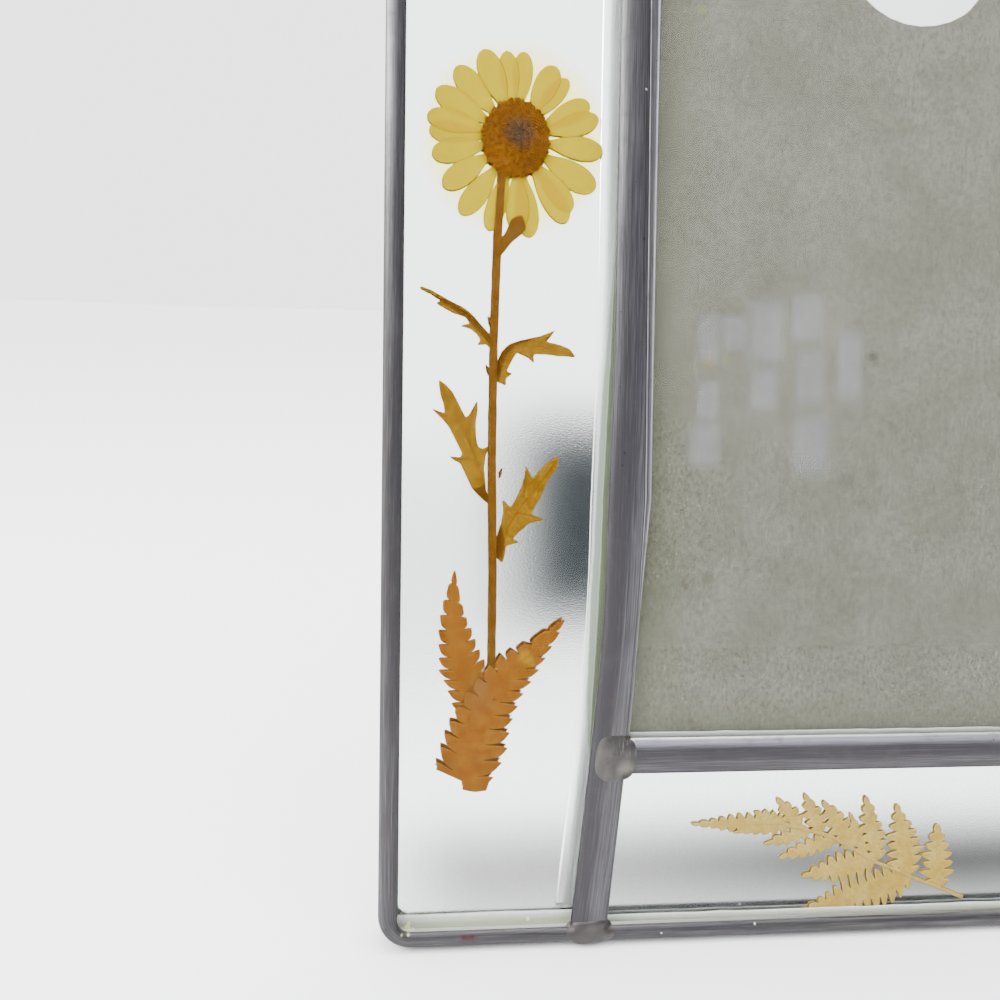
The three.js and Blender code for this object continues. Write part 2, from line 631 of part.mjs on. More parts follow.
addPiece(panel, 'daisy_petals', daisyPetals(), PETAL());
addPiece(panel, 'daisy_disc', daisyDisc(), DISC());
addPiece(panel, 'daisy_stem', daisyStem(), STALK());
for (const [name, outline] of Object.entries(LEAVES)) {
  addPiece(panel, name, pressed(shapeOf(outline), 0), LEAF());
}
addPiece(panel, 'fern_pinna_left', pressed(pinnaShape(PINNA_LEFT), 0), FERN());
addPiece(panel, 'fern_pinna_right', pressed(pinnaShape(PINNA_RIGHT), 2), FERN());
addPiece(panel, 'bottom_fern', frond(), STRAW());

const toeY = -new THREE.Box3().setFromObject(panel, true).min.y;
for (const [name, u] of Object.entries(LEG_U)) {
  addPiece(frame, name, easelLeg(u, toeY), WIRE());
}

export default frame;
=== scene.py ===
"""A pressed flower photo frame: lead cames, clear and silvered glass, a daisy and ferns between them.

Positions on the frame's own plane are millimetres: u to the right from its middle, v up from its
bottom edge, w backwards from the front of the glass channel.
"""

import math

import bmesh
import bpy
from mathutils import Matrix, Vector, geometry, noise


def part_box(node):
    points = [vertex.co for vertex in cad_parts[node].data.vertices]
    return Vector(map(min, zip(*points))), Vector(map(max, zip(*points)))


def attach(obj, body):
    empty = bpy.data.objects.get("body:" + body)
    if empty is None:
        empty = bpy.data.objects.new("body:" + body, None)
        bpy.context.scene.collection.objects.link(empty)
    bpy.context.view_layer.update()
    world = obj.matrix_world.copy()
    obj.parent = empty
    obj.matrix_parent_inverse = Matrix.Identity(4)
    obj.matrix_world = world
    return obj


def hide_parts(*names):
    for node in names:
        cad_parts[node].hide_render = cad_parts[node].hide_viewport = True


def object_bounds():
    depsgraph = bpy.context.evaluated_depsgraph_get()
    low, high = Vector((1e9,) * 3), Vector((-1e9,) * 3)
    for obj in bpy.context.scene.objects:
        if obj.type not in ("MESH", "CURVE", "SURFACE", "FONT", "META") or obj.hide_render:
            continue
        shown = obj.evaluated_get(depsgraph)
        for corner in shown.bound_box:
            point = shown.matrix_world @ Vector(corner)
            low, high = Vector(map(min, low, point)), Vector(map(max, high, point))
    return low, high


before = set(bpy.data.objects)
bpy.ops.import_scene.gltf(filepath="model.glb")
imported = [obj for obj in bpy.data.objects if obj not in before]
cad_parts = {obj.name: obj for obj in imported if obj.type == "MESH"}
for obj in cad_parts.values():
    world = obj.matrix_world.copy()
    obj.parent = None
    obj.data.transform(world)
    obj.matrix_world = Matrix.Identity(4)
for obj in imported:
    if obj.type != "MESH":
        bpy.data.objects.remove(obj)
cad_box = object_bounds()

# ---- The frame's plane and its driving dimensions, in millimetres
MM = 0.001
LEAN = math.radians(10)
SETBACK, LIFT = -31, 0.7
WIDTH, HEIGHT = 128, 156.5
CORNER_RADIUS = 5
CHANNEL, CROWN, LEAF_EDGE = 5, 1.1, 0.3
BORDER_FACE, BOTTOM_FACE, BORDER_WEB = 3, 2.2, 1
CAME_FACE, HEART, CROSS_V = 5.6, 1.5, 28.7
CLEARANCE = 0.3
SILVER_BACK_W = 4.75
WIRE_RADIUS = 1.1

PANEL = Matrix.Translation((0, SETBACK * MM, LIFT * MM)) @ Matrix.Rotation(-LEAN, 4, "X")


def place(u, v, w):
    return PANEL @ (Vector((u, w, v)) * MM)


def interpolate(table, x):
    """A value from a table of (x, value) pairs, straight between them and level beyond."""
    for (x0, y0), (x1, y1) in zip(table, table[1:]):
        if x < x1:
            return y0 + (y1 - y0) * max(0, min(1, (x - x0) / (x1 - x0)))
    return table[-1][1]


def evenly(start, end, steps):
    """Evenly spaced numbers from start to end, both included."""
    return [start + (end - start) * i / steps for i in range(steps + 1)]


def rough(u, v, scale, seed=0):
    """Smooth noise of about -1 to 1 over the plane, with features of about 1 / scale millimetres."""
    return noise.noise(Vector((u * scale, v * scale, seed * 17.3)))


def linked(name, data):
    made = bpy.data.objects.new(name, data)
    bpy.context.scene.collection.objects.link(made)
    return made


# ---- Materials
class Nodes:
    """A node tree, built one node at a time."""

    def __init__(self, tree):
        self.tree = tree

    def node(self, kind, inputs=(), **settings):
        made = self.tree.nodes.new(kind)
        for name, value in settings.items():
            setattr(made, name, value)
        for name, value in dict(inputs).items():
            self.feed(made.inputs[name], value)
        return made

    def feed(self, socket, value):
        if isinstance(value, bpy.types.NodeSocket):
            self.tree.links.new(value, socket)
        else:
            socket.default_value = value

    def math(self, operation, first, second):
        return self.node("ShaderNodeMath", {0: first, 1: second}, operation=operation).outputs[0]

    def scaled(self, vector, factors):
        return self.node("ShaderNodeVectorMath", {0: vector, 1: factors}, operation="MULTIPLY").outputs[0]

    def noise(self, vector, scale, detail=4.0, roughness=0.55):
        return self.node("ShaderNodeTexNoise", {
            "Vector": vector, "Scale": scale, "Detail": detail, "Roughness": roughness,
        }).outputs["Fac"]

    def ramp(self, value, low, high, to_low=0.0, to_high=1.0):
        return self.node("ShaderNodeMapRange", {
            "Value": value, "From Min": low, "From Max": high, "To Min": to_low, "To Max": to_high,
        }, interpolation_type="SMOOTHSTEP").outputs[0]

    def mix(self, factor, first, second, blend="MIX"):
        made = self.node("ShaderNodeMix", data_type="RGBA", blend_type=blend)
        self.feed(made.inputs[0], factor)
        self.feed(made.inputs[6], first if isinstance(first, bpy.types.NodeSocket) else (*first, 1))
        self.feed(made.inputs[7], second if isinstance(second, bpy.types.NodeSocket) else (*second, 1))
        return made.outputs[2]

    def parts(self, vector):
        return self.node("ShaderNodeSeparateXYZ", {"Vector": vector}).outputs

    def tones(self, value, stops):
        """A colour ramp: stops are (place, colour)."""
        made = self.node("ShaderNodeValToRGB", {"Fac": value})
        band = made.color_ramp.elements
        for i, (place_on, colour) in enumerate(stops):
            element = band[i] if i < 2 else band.new(place_on)
            element.position, element.color = place_on, (*colour, 1)
        return made.outputs["Color"]


class Shader(Nodes):
    """A material round its Principled shader."""

    def __init__(self, name, roughness=0.5, metallic=0.0, specular=0.5):
        self.material = bpy.data.materials.new(name)
        self.material.use_nodes = True
        super().__init__(self.material.node_tree)
        self.bsdf = self.tree.nodes["Principled BSDF"]
        self.set("Roughness", roughness)
        self.set("Metallic", metallic)
        self.set("Specular IOR Level", specular)

    def set(self, name, value):
        self.feed(self.bsdf.inputs[name], value)

    def plane(self, stretch=(1, 1, 1)):
        """Coordinates (u, w, v) in millimetres, each multiplied by its stretch."""
        shift = Matrix.Rotation(LEAN, 3, "X") @ Vector((0, SETBACK, LIFT))
        source = self.node("ShaderNodeTexCoord").outputs["Object"]
        turned = self.node("ShaderNodeMapping", {
            "Vector": source, "Scale": (1 / MM,) * 3, "Rotation": (LEAN, 0, 0), "Location": -shift,
        })
        return self.scaled(turned.outputs[0], stretch)

    def along(self, stretch=(1, 1)):
        """Coordinates along and across a swept piece in millimetres."""
        source = self.node("ShaderNodeUVMap", uv_map="run").outputs["UV"]
        return self.scaled(source, (*stretch, 1))

    def spot(self, u, v, radius, softness=0.5):
        """1 inside a round spot on the plane, fading to 0 at its radius."""
        centre = (u, 0, v)
        flat = self.scaled(self.plane(), (1, 0, 1))
        away = self.node("ShaderNodeVectorMath", {0: flat, 1: centre}, operation="DISTANCE").outputs["Value"]
        return self.ramp(away, radius * (1 - softness), radius, 1, 0)

    def grain(self, scale, detail, roughness, stretch=(1, 1, 1)):
        return self.noise(self.plane(stretch), scale, detail, roughness)

    def attribute(self, name):
        return self.node("ShaderNodeAttribute", attribute_name=name).outputs["Fac"]

    def bump(self, height, distance, strength=1.0):
        made = self.node("ShaderNodeBump", {"Height": height, "Strength": strength, "Distance": distance * MM})
        self.set("Normal", made.outputs[0])

    def colour(self, value):
        self.set("Base Color", value)

    def slanted(self, degrees, stretch):
        """The plane's coordinates, turned and stretched along the turned axes."""
        return self.node("ShaderNodeMapping", {
            "Vector": self.plane(), "Rotation": (0, math.radians(degrees), 0), "Scale": stretch,
        }).outputs[0]

    def marked(self, tone, marks, softness=0.7, grain=None):
        """The tone with round marks (u, v, radius, colour, strength) on it, ragged where a grain is given."""
        for u, v, radius, colour, strength in marks:
            if grain is not None:
                strength = self.ramp(grain, 0.4, 0.6, 0.3 * strength, strength)
            tone = self.mix(self.math("MULTIPLY", self.spot(u, v, radius, softness), strength), tone, colour)
        return tone


def lead_material(name, dark, light, streak=(0.05, 1.6), wear=0.55):
    """Drawn lead: dark patina, worn lighter along its ridges and painted with highlights and shade, streaked along its
    run.
    """
    s = Shader(name, metallic=0.85)
    streaks = s.noise(s.along(streak), 1.0, 6, 0.65)
    fine = s.noise(s.along((0.12, 5.0)), 1.0, 3, 0.6)
    uneven = s.math("MULTIPLY", s.math("SUBTRACT", s.math("ADD", streaks, fine), 1.0), wear * 1.6)
    # The per-vertex value across each came is partly real wear and partly painted highlight and shade.
    rubbed_and_lit = s.ramp(s.math("ADD", s.attribute("polish"), uneven), 0.0, 1.0)
    tone = s.mix(rubbed_and_lit, dark, light)
    blotches = s.noise(s.along((0.3, 0.4)), 1.0, 4, 0.6)
    tone = s.mix(s.ramp(blotches, 0.5, 0.75, 0, 0.4), tone, (0.06, 0.053, 0.047))
    pits = s.ramp(s.grain(1.5, 2, 0.5), 0.74, 0.78, 0, 0.85)
    s.colour(s.marked(s.mix(pits, tone, (0.02, 0.02, 0.02)), LEAD_MARKS))
    grain = s.grain(3.5, 5, 0.7)
    s.set("Roughness", s.ramp(rubbed_and_lit, 0, 1, 0.48, 0.34))
    s.bump(s.math("ADD", s.math("MULTIPLY", fine, 0.5), s.math("MULTIPLY", grain, 0.35)), 0.05)
    return s.material


# Marks on the lead: u, v, radius, colour, strength. Wax crumbs, a rust stain, white specks, a dark dent
LEAD_MARKS = [
    (-51, 1.5, 0.55, (0.07, 0.02, 0.018), 0.8), (-50.4, 1.4, 0.5, (0.08, 0.025, 0.02), 0.8),
    (-49.8, 1.5, 0.5, (0.07, 0.02, 0.018), 0.8), (-49.3, 1.4, 0.4, (0.09, 0.04, 0.03), 0.7),
    (-60.4, 2.2, 0.3, (0.4, 0.38, 0.2), 0.8), (-59.4, 2.1, 0.3, (0.4, 0.38, 0.2), 0.8),
    (-5.4, 1.9, 0.22, (0.75, 0.75, 0.72), 0.95), (-20.4, 1.1, 0.2, (0.7, 0.7, 0.66), 0.8),
    (-25.3, 129.4, 0.25, (0.7, 0.7, 0.7), 0.8), (-25.2, 107.3, 0.3, (0.02, 0.02, 0.02), 0.9),
    (-27.6, 75.2, 0.3, (0.02, 0.02, 0.02), 0.85), (-27.9, 73.3, 0.25, (0.02, 0.02, 0.02), 0.8),
]


def solder_material():
    """Smooth brownish-grey solder with shallow wrinkles and paler scraped wisps."""
    s = Shader("solder_skin", metallic=0.8, roughness=0.46)
    wrinkles = s.grain(0.6, 5, 0.55, (0.8, 1, 0.5))
    wisps = s.ramp(s.noise(s.slanted(-35, (2.2, 1, 0.3)), 1.3, 4, 0.6), 0.5, 0.68)
    tone = s.mix(s.ramp(wrinkles, 0.3, 0.7), (0.046, 0.042, 0.04), (0.07, 0.065, 0.061))
    tone = s.marked(tone, [(-26.6, 27, 1.9, (0.13, 0.122, 0.112), 0.6)], 0.9)
    pale_corner = s.math("MULTIPLY", s.spot(-26.2, 31, 2.8, 0.7), wisps)
    s.colour(s.mix(pale_corner, tone, (0.17, 0.175, 0.17)))
    s.bump(wrinkles, 0.05)
    return s.material


def glass_material(name, bending):
    s = Shader(name, roughness=0.0)
    s.colour((0.97, 0.99, 0.975, 1))
    s.set("Transmission Weight", 1.0)
    s.set("IOR", bending)
    return s.material


# Pale yellow wax crumbs on the strip at the foot: u, v, radius
WAX_CRUMBS = [(-60.3, 1.5, 0.5), (-59.5, 1.75, 0.6), (-58.7, 1.5, 0.45), (-59.3, 2.4, 0.3), (-40.8, 2.5, 0.35)]


def edge_material():
    """The sealed margins: worn silver, pale blue-green, a light line, then olive; a painted reflection along the foot.
    """
    s = Shader("sealed_glass_edge", roughness=0.45)
    waver = s.math("MULTIPLY", s.math("SUBTRACT", s.grain(1.1, 5, 0.65, (1, 1, 0.15)), 0.5), 0.15)
    across = s.math("ADD", s.attribute("across"), waver)
    silver, pale, line, olive = (0.93, 0.935, 0.94), (0.27, 0.32, 0.26), (0.38, 0.42, 0.33), (0.12, 0.145, 0.085)
    tone = s.tones(across, [(0.0, silver), (1.0, olive), (0.22, silver), (0.32, pale), (0.58, pale), (0.64, line),
                            (0.7, olive)])
    # The foot strip: greenish glass under a painted reflection, a light line by the came, paling towards the top.
    lower = s.tones(across, [(0.0, (0.36, 0.36, 0.3)), (1.0, (0.7, 0.705, 0.69)), (0.09, (0.48, 0.48, 0.4)),
                             (0.16, (0.3, 0.31, 0.23)), (0.35, (0.29, 0.315, 0.2)), (0.55, (0.3, 0.31, 0.24)),
                             (0.8, (0.46, 0.465, 0.43))])
    for u, v, radius in WAX_CRUMBS:
        lower = s.mix(s.spot(u, v, radius, 0.3), lower, (0.62, 0.6, 0.3))
    s.colour(s.mix(s.attribute("foot"), tone, lower))
    shining = s.math("SUBTRACT", 1.0, s.attribute("foot"))
    s.set("Metallic", s.math("MULTIPLY", s.ramp(across, 0.32, 0.22), shining))
    s.set("Roughness", s.ramp(across, 0, 0.3, 0.16, 0.45))
    s.bump(waver, 0.1)
    return s.material


def silver_material():
    """Satin silver with a fine slanting leathery grain, a painted yellow reflection round the petals; grey paint on
    its back.
    """
    s = Shader("satin_silver", metallic=1.0)
    grain = s.noise(s.slanted(38, (1, 1, 2.4)), 2.2, 2, 0.5)
    dust = s.grain(0.9, 8, 0.75)
    tone = s.mix(s.ramp(grain, 0.35, 0.65), (0.9, 0.905, 0.915), (0.95, 0.955, 0.965))
    # Painted reflection: the petals' yellow glow on the silver round the daisy.
    tone = s.mix(s.spot(DISC_U, DISC_V, 15.6, 0.3), tone, (0.93, 0.88, 0.3))
    tone = s.mix(s.ramp(dust, 0.7, 0.76, 0, 0.4), tone, (0.55, 0.53, 0.5))
    painted = s.ramp(s.parts(s.plane())["Y"], SILVER_BACK_W - 0.15, SILVER_BACK_W - 0.05)
    paint = s.mix(s.ramp(dust, 0.4, 0.6), (0.27, 0.28, 0.285), (0.33, 0.335, 0.335))
    s.colour(s.mix(painted, tone, paint))
    s.set("Metallic", s.math("SUBTRACT", 1.0, painted))
    s.set("Roughness", s.ramp(painted, 0, 1, 0.11, 0.55))
    s.bump(grain, 0.006)
    return s.material


# Marks on the board behind the window: u, v, radius, colour, strength
BOARD_MARKS = [
    (-16, 142.8, 1.1, (0.2, 0.2, 0.05), 0.7), (-15.3, 141, 0.6, (0.18, 0.17, 0.04), 0.7),
    (-13.7, 89.5, 1.7, (0.24, 0.17, 0.07), 0.6), (-11, 89.9, 1.6, (0.2, 0.17, 0.07), 0.4),
    (12.8, 90.9, 1.1, (0.03, 0.025, 0.015), 0.95), (8.9, 71.4, 2.0, (0.08, 0.07, 0.045), 0.55),
    (13.1, 72.3, 1.5, (0.08, 0.07, 0.045), 0.5), (-13.2, 55.8, 1.7, (0.07, 0.06, 0.03), 0.65),
    (-16.9, 54.7, 1.1, (0.07, 0.06, 0.03), 0.5), (-14.5, 61, 0.7, (0.06, 0.05, 0.03), 0.5),
    (-15.4, 33.2, 0.9, (0.05, 0.05, 0.03), 0.6), (-12, 36.5, 0.5, (0.07, 0.06, 0.03), 0.5),
    (5.7, 98.9, 0.3, (0.4, 0.38, 0.33), 0.7), (6.6, 99.8, 0.35, (0.4, 0.38, 0.33), 0.7),
    (28, 70, 1.8, (0.08, 0.07, 0.045), 0.45), (41, 118, 1.5, (0.2, 0.19, 0.06), 0.45),
]


def board_material():
    """Pressed grey-beige chipboard: mottled, flecked with dark and light fibres, spotted with mould, painted shade by
    the cames.
    """
    s = Shader("pressed_board", roughness=0.88, specular=0.15)
    clouds = s.grain(0.09, 5, 0.65)
    fibres = s.grain(2.0, 6, 0.8, (1, 1, 0.6))
    tone = s.mix(s.ramp(clouds, 0.35, 0.65), (0.141, 0.137, 0.108), (0.179, 0.169, 0.146))
    tone = s.mix(s.ramp(fibres, 0.36, 0.6, 0.75, 0), tone, (0.075, 0.07, 0.05))
    dark = s.ramp(s.grain(1.5, 3, 0.75), 0.6, 0.68, 0, 0.85)
    pale = s.ramp(s.grain(2.0, 3, 0.75, (1, 1, 1.3)), 0.61, 0.7, 0, 0.85)
    tone = s.mix(pale, s.mix(dark, tone, (0.05, 0.042, 0.03)), (0.33, 0.31, 0.26))
    parts = s.parts(s.plane())
    # Painted shade: darker olive towards the came on the left and the came along the foot.
    left = s.ramp(parts["X"], -24, -14, 0.5, 0)
    foot = s.ramp(parts["Z"], 31, 39, 0.6, 0)
    olive = s.math("MULTIPLY", s.math("MAXIMUM", left, foot), s.ramp(clouds, 0.4, 0.6, 0.6, 1.0))
    tone = s.mix(olive, tone, (0.1, 0.105, 0.055))
    s.colour(s.marked(tone, BOARD_MARKS, 0.8, fibres))
    s.bump(fibres, 0.08)
    return s.material


def petal_material():
    """Dried yellow petals: deeper where two lie over each other, nerved along their length."""
    s = Shader("dried_petal", roughness=0.62, specular=0.02)
    nerves = s.noise(s.along((0.25, 3.2)), 1.0, 3, 0.5)
    speckle = s.grain(3.2, 5, 0.7)
    single = s.mix(s.ramp(nerves, 0.3, 0.7), (0.34, 0.235, 0.0), (0.38, 0.275, 0.0))
    double = s.mix(s.ramp(speckle, 0.3, 0.7), (0.31, 0.185, 0.0), (0.34, 0.21, 0.0))
    tone = s.mix(s.attribute("overlap"), single, double)
    tone = s.mix(s.attribute("root"), tone, (0.22, 0.085, 0.0))
    tone = s.mix(s.attribute("rim"), tone, (0.27, 0.19, 0.0))
    s.colour(s.mix(s.ramp(speckle, 0.66, 0.76, 0, 0.4), tone, (0.2, 0.1, 0.0)))
    s.bump(nerves, 0.03)
    return s.material


def dried_material(name, pale, mid, dark, scale=1.0, vein=(0.2, 0.08, 0.02), marks=()):
    """A pressed leaf or fern: mottled, flecked, marked, with veins, a paler edge and painted shade on its folds."""
    s = Shader(name, roughness=0.7, specular=0.02)
    mottle = s.grain(0.55 * scale, 5, 0.65)
    flecks = s.grain(2.6 * scale, 6, 0.75)
    tone = s.mix(s.ramp(mottle, 0.34, 0.66), mid, pale)
    tone = s.mix(s.ramp(flecks, 0.42, 0.62, 0.35, 0), tone, dark)
    tone = s.mix(s.math("MULTIPLY", s.attribute("rim"), 0.8), tone, pale)
    # Painted shade: the folded parts are drawn in the dark tone.
    tone = s.mix(s.attribute("fold"), s.marked(tone, marks), dark)
    s.colour(s.mix(s.attribute("vein"), tone, vein))
    s.bump(s.mix(0.5, mottle, flecks), 0.05)
    return s.material


def disc_material():
    """Dried disc florets: greyish in the middle, brown round it, orange towards the lower left."""
    s = Shader("dried_florets", roughness=0.8, specular=0.03)
    middle = s.spot(DISC_U + 0.5, DISC_V + 0.8, 3.2, 0.85)
    warm = s.spot(DISC_U - 2.2, DISC_V - 2.6, 3.4, 0.9)
    grain = s.grain(1.8, 6, 0.75)
    tone = s.mix(s.ramp(grain, 0.42, 0.6), (0.06, 0.019, 0.001), (0.17, 0.06, 0.003))
    tone = s.mix(middle, tone, s.mix(s.ramp(grain, 0.4, 0.6), (0.025, 0.014, 0.008), (0.1, 0.056, 0.024)))
    warm_part = s.math("MULTIPLY", warm, s.ramp(grain, 0.42, 0.62, 0.1, 0.5))
    s.colour(s.mix(warm_part, tone, (0.3, 0.1, 0.002)))
    s.bump(grain, 0.2)
    return s.material


# ---- Meshes
class Builder:
    """Vertices, faces and per-vertex values of one piece, on the frame's plane."""

    def __init__(self):
        self.points, self.faces, self.uvs, self.values = [], [], [], {}

    def add(self, points, faces, uvs=None, **values):
        start = len(self.points)
        self.points += points
        self.uvs += uvs or [(p[0], p[1]) for p in points]
        self.faces += [[start + i for i in face] for face in faces]
        for name in {*self.values, *values}:
            known = self.values.setdefault(name, [0.0] * start)
            known += values.get(name, [0.0] * len(points))

    def make(self, name, material, replaced, world=False):
        mesh = bpy.data.meshes.new(name)
        spots = [Vector(p) * MM for p in self.points] if world else [place(*p) for p in self.points]
        mesh.from_pydata(spots, [], self.faces)
        layer = mesh.uv_layers.new(name="run")
        for loop in mesh.loops:
            layer.data[loop.index].uv = self.uvs[loop.vertex_index]
        for key, numbers in self.values.items():
            mesh.attributes.new(key, "FLOAT", "POINT").data.foreach_set("value", numbers)
        mesh.polygons.foreach_set("use_smooth", [True] * len(mesh.polygons))
        tidy = bmesh.new()
        tidy.from_mesh(mesh)
        bmesh.ops.recalc_face_normals(tidy, faces=tidy.faces)
        tidy.to_mesh(mesh)
        tidy.free()
        mesh.materials.append(material)
        piece = linked(name, mesh)
        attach(piece, "root")
        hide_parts(*replaced)
        return piece


def ring_faces(rings, size, start=0, closed=False):
    """Faces between rings of this many points; in a closed run the last ring joins the first."""
    faces = []
    for i in range(rings if closed else rings - 1):
        here, there = start + i * size, start + (i + 1) % rings * size
        faces += [[here + j, here + (j + 1) % size, there + (j + 1) % size, there + j] for j in range(size)]
    return faces


def end_faces(rings, size):
    return [list(range(size))[::-1], [size * (rings - 1) + j for j in range(size)]]


def thin_sheet(points, wide, thick):
    """A closed sheet from rows of this many points each: its front, its back, then its walls."""
    count, last = len(points), len(points) - wide
    front = [[k, k + 1, k + wide + 1, k + wide] for i in range(0, last, wide) for k in range(i, i + wide - 1)]
    loop = [*range(wide), *range(2 * wide - 1, count, wide), *range(count - 2, last - 1, -1),
            *range(last - wide, 0, -wide)]
    walls = [[a, b, b + count, a + count] for a, b in zip(loop, loop[1:] + loop[:1])]
    back = [[k + count for k in face][::-1] for face in front]
    return points + [(u, v, w + thick) for u, v, w in points], front + back + walls


def keep_in_box(made):
    """Lumps and dents stay above the table and under the solids' top."""
    for vertex in made.data.vertices:
        vertex.co.z = min(max(vertex.co.z, 0), cad_box[1][2])


def sweep(path, sections, closed=False):
    """Rings of (across, w, wear and painted highlight) points along a path of ((u, v), (across_u, across_v)) places.
    """
    points, uvs, polish = [], [], []
    rings, size, run, last = len(path), len(sections[0]), 0.0, path[0][0]
    for (spot, across), section in zip(path, sections):
        run += math.dist(spot, last)
        last, round_section, previous = spot, 0.0, section[-1]
        for a, w, rubbed_and_lit in section:
            round_section += math.dist((a, w), previous[:2])
            previous = (a, w)
            points.append((spot[0] + a * across[0], spot[1] + a * across[1], w))
            uvs.append((run, round_section))
            polish.append(rubbed_and_lit)
    faces = ring_faces(rings, size, closed=closed)
    return points, faces if closed else faces + end_faces(rings, size), uvs, polish


def crown(left, right, face, tones, steps=18):
    """A came's rounded face from left to right; face is -1 at the front and 1 at the back."""
    middle, half, points = (left + right) / 2, (right - left) / 2, []
    for i in range(steps + 1):
        angle = math.pi * (1 - i / steps)
        across = math.cos(angle)
        proud = LEAF_EDGE + (CROWN - LEAF_EDGE) * math.sin(angle)
        w = -proud if face < 0 else CHANNEL + proud
        points.append((middle + half * across, w, interpolate(tones, (across + 1) / 2)))
    return points


def dented(points, amount=0.05):
    """Small dents and waviness in a came's rounded faces."""
    made = []
    for u, v, w in points:
        outside = max(0, -w - LEAF_EDGE) + max(0, w - CHANNEL - LEAF_EDGE)
        push = amount * (rough(u, v, 0.14, 3) + 0.5 * rough(u, v, 0.8, 5)) * min(1, outside * 2)
        made.append((u, v, w + push if w < 0 else w - push))
    return made


# ---- Cames
DIRT = 0.1


def hidden_points(points):
    """Points of a came's section that face the glass, evenly dirty."""
    return [(*point, DIRT) for point in points]


def came(name, node, material, path, sections, closed=False):
    points, faces, uvs, polish = sweep(path, sections, closed)
    piece = Builder()
    piece.add(dented(points), faces, uvs, polish=polish)
    return piece.make(name, material, [node])


def came_centre(v):
    """The hand-bent vertical came's middle: upright above, slanting to the left below."""
    return -27 - 0.6 * math.log(1 + math.exp((50 - v) / 6))


# How worn each came is across its front, with painted highlights and shade: (share of the way across, wear and
# highlight)
PLAIN_TONES = [(0, 0.3), (0.12, 0.25), (0.4, 0.15), (0.7, 0.17), (0.9, 0.28), (1, 0.3)]
CROSS_TONES = [(0, 0.02), (0.07, 0.13), (0.32, 0.12), (0.45, 0.03), (0.66, 0.05), (0.78, 0.3), (0.9, 0.9), (1, 0.8)]
FOOT_TONES = [(0, 0.0), (0.25, 0.1), (0.7, 0.14), (0.9, 0.1), (1, 0.2)]
# The same, painted highlights and shade included, at heights up the upright cames: the side came, and the vertical one
SIDE_TONES = [
    (15, [(0, 0.17), (0.15, 0.16), (0.4, 0.14), (0.6, 0.11), (0.8, 0.07), (1, 0.12)]),
    (70, [(0, 0.11), (0.15, 0.1), (0.35, 0.05), (0.5, 0.02), (0.8, 0.02), (1, 0.08)]),
    (98, [(0, 0.14), (0.15, 0.17), (0.42, 0.2), (0.55, 0.1), (0.8, 0.07), (1, 0.1)]),
    (128, [(0, 0.25), (0.12, 0.4), (0.46, 0.36), (0.6, 0.15), (0.8, 0.12), (1, 0.14)]),
]
VERTICAL_TONES = [
    (24, [(0, 0.04), (0.12, 0.04), (0.25, 0.05), (0.42, 0.08), (0.5, 0.15), (0.8, 0.19), (1, 0.17)]),
    (34, [(0, 0.0), (0.12, 0.0), (0.25, 0.0), (0.42, 0.03), (0.52, 0.15), (0.8, 0.2), (1, 0.22)]),
    (58, [(0, 0.02), (0.12, 0.0), (0.25, 0.0), (0.45, 0.03), (0.6, 0.12), (0.8, 0.2), (1, 0.24)]),
    (76, [(0, 0.1), (0.12, 0.08), (0.25, 0.03), (0.5, 0.03), (0.7, 0.07), (0.85, 0.17), (1, 0.26)]),
    (98, [(0, 0.12), (0.12, 0.2), (0.25, 0.12), (0.4, 0.1), (0.7, 0.11), (0.88, 0.12), (1, 0.26)]),
    (120, [(0, 0.18), (0.12, 0.36), (0.22, 0.32), (0.32, 0.19), (0.7, 0.15), (0.9, 0.12), (1, 0.24)]),
]


def tones_at(v, tables):
    """The tones across a came at height v, blended from those below and above it."""
    for (v0, low), (v1, high) in zip(tables, tables[1:]):
        if v < v1:
            share = max(0, (v - v0) / (v1 - v0))
            return [tuple(a + (b - a) * share for a, b in zip(*pair)) for pair in zip(low, high)]
    return tables[-1][1]


# How far the vertical came's left edge is drawn in above the bend
LEFT_INSET = [(66, 0), (88, 0.5), (153, 0.55)]


def came_left(v):
    return came_centre(v) - CAME_FACE / 2 + interpolate(LEFT_INSET, v)


# The vertical came's face: where its round body ends on the right, and where its flat lip ends
BODY_RIGHT = [(3, -28.9), (23.5, -26.9), (30, -26.3), (53, -24.8), (68, -24.2), (141, -24.8), (153, -24.9)]
LIP_RIGHT = [(3, -28.8), (30, -26.1), (37, -25.5), (53, -24.4), (68, -23.1), (153, -23.1)]
# The lip's beads: distance from its edge, how proud, wear and painted highlight
BEADS_WIDE = 1.2
LIP_BEAD = [(0.0, 0.32, 0.18), (0.12, 0.48, 0.48), (0.26, 0.5, 0.45), (0.38, 0.3, 0.24), (0.55, 0.26, 0.24)]


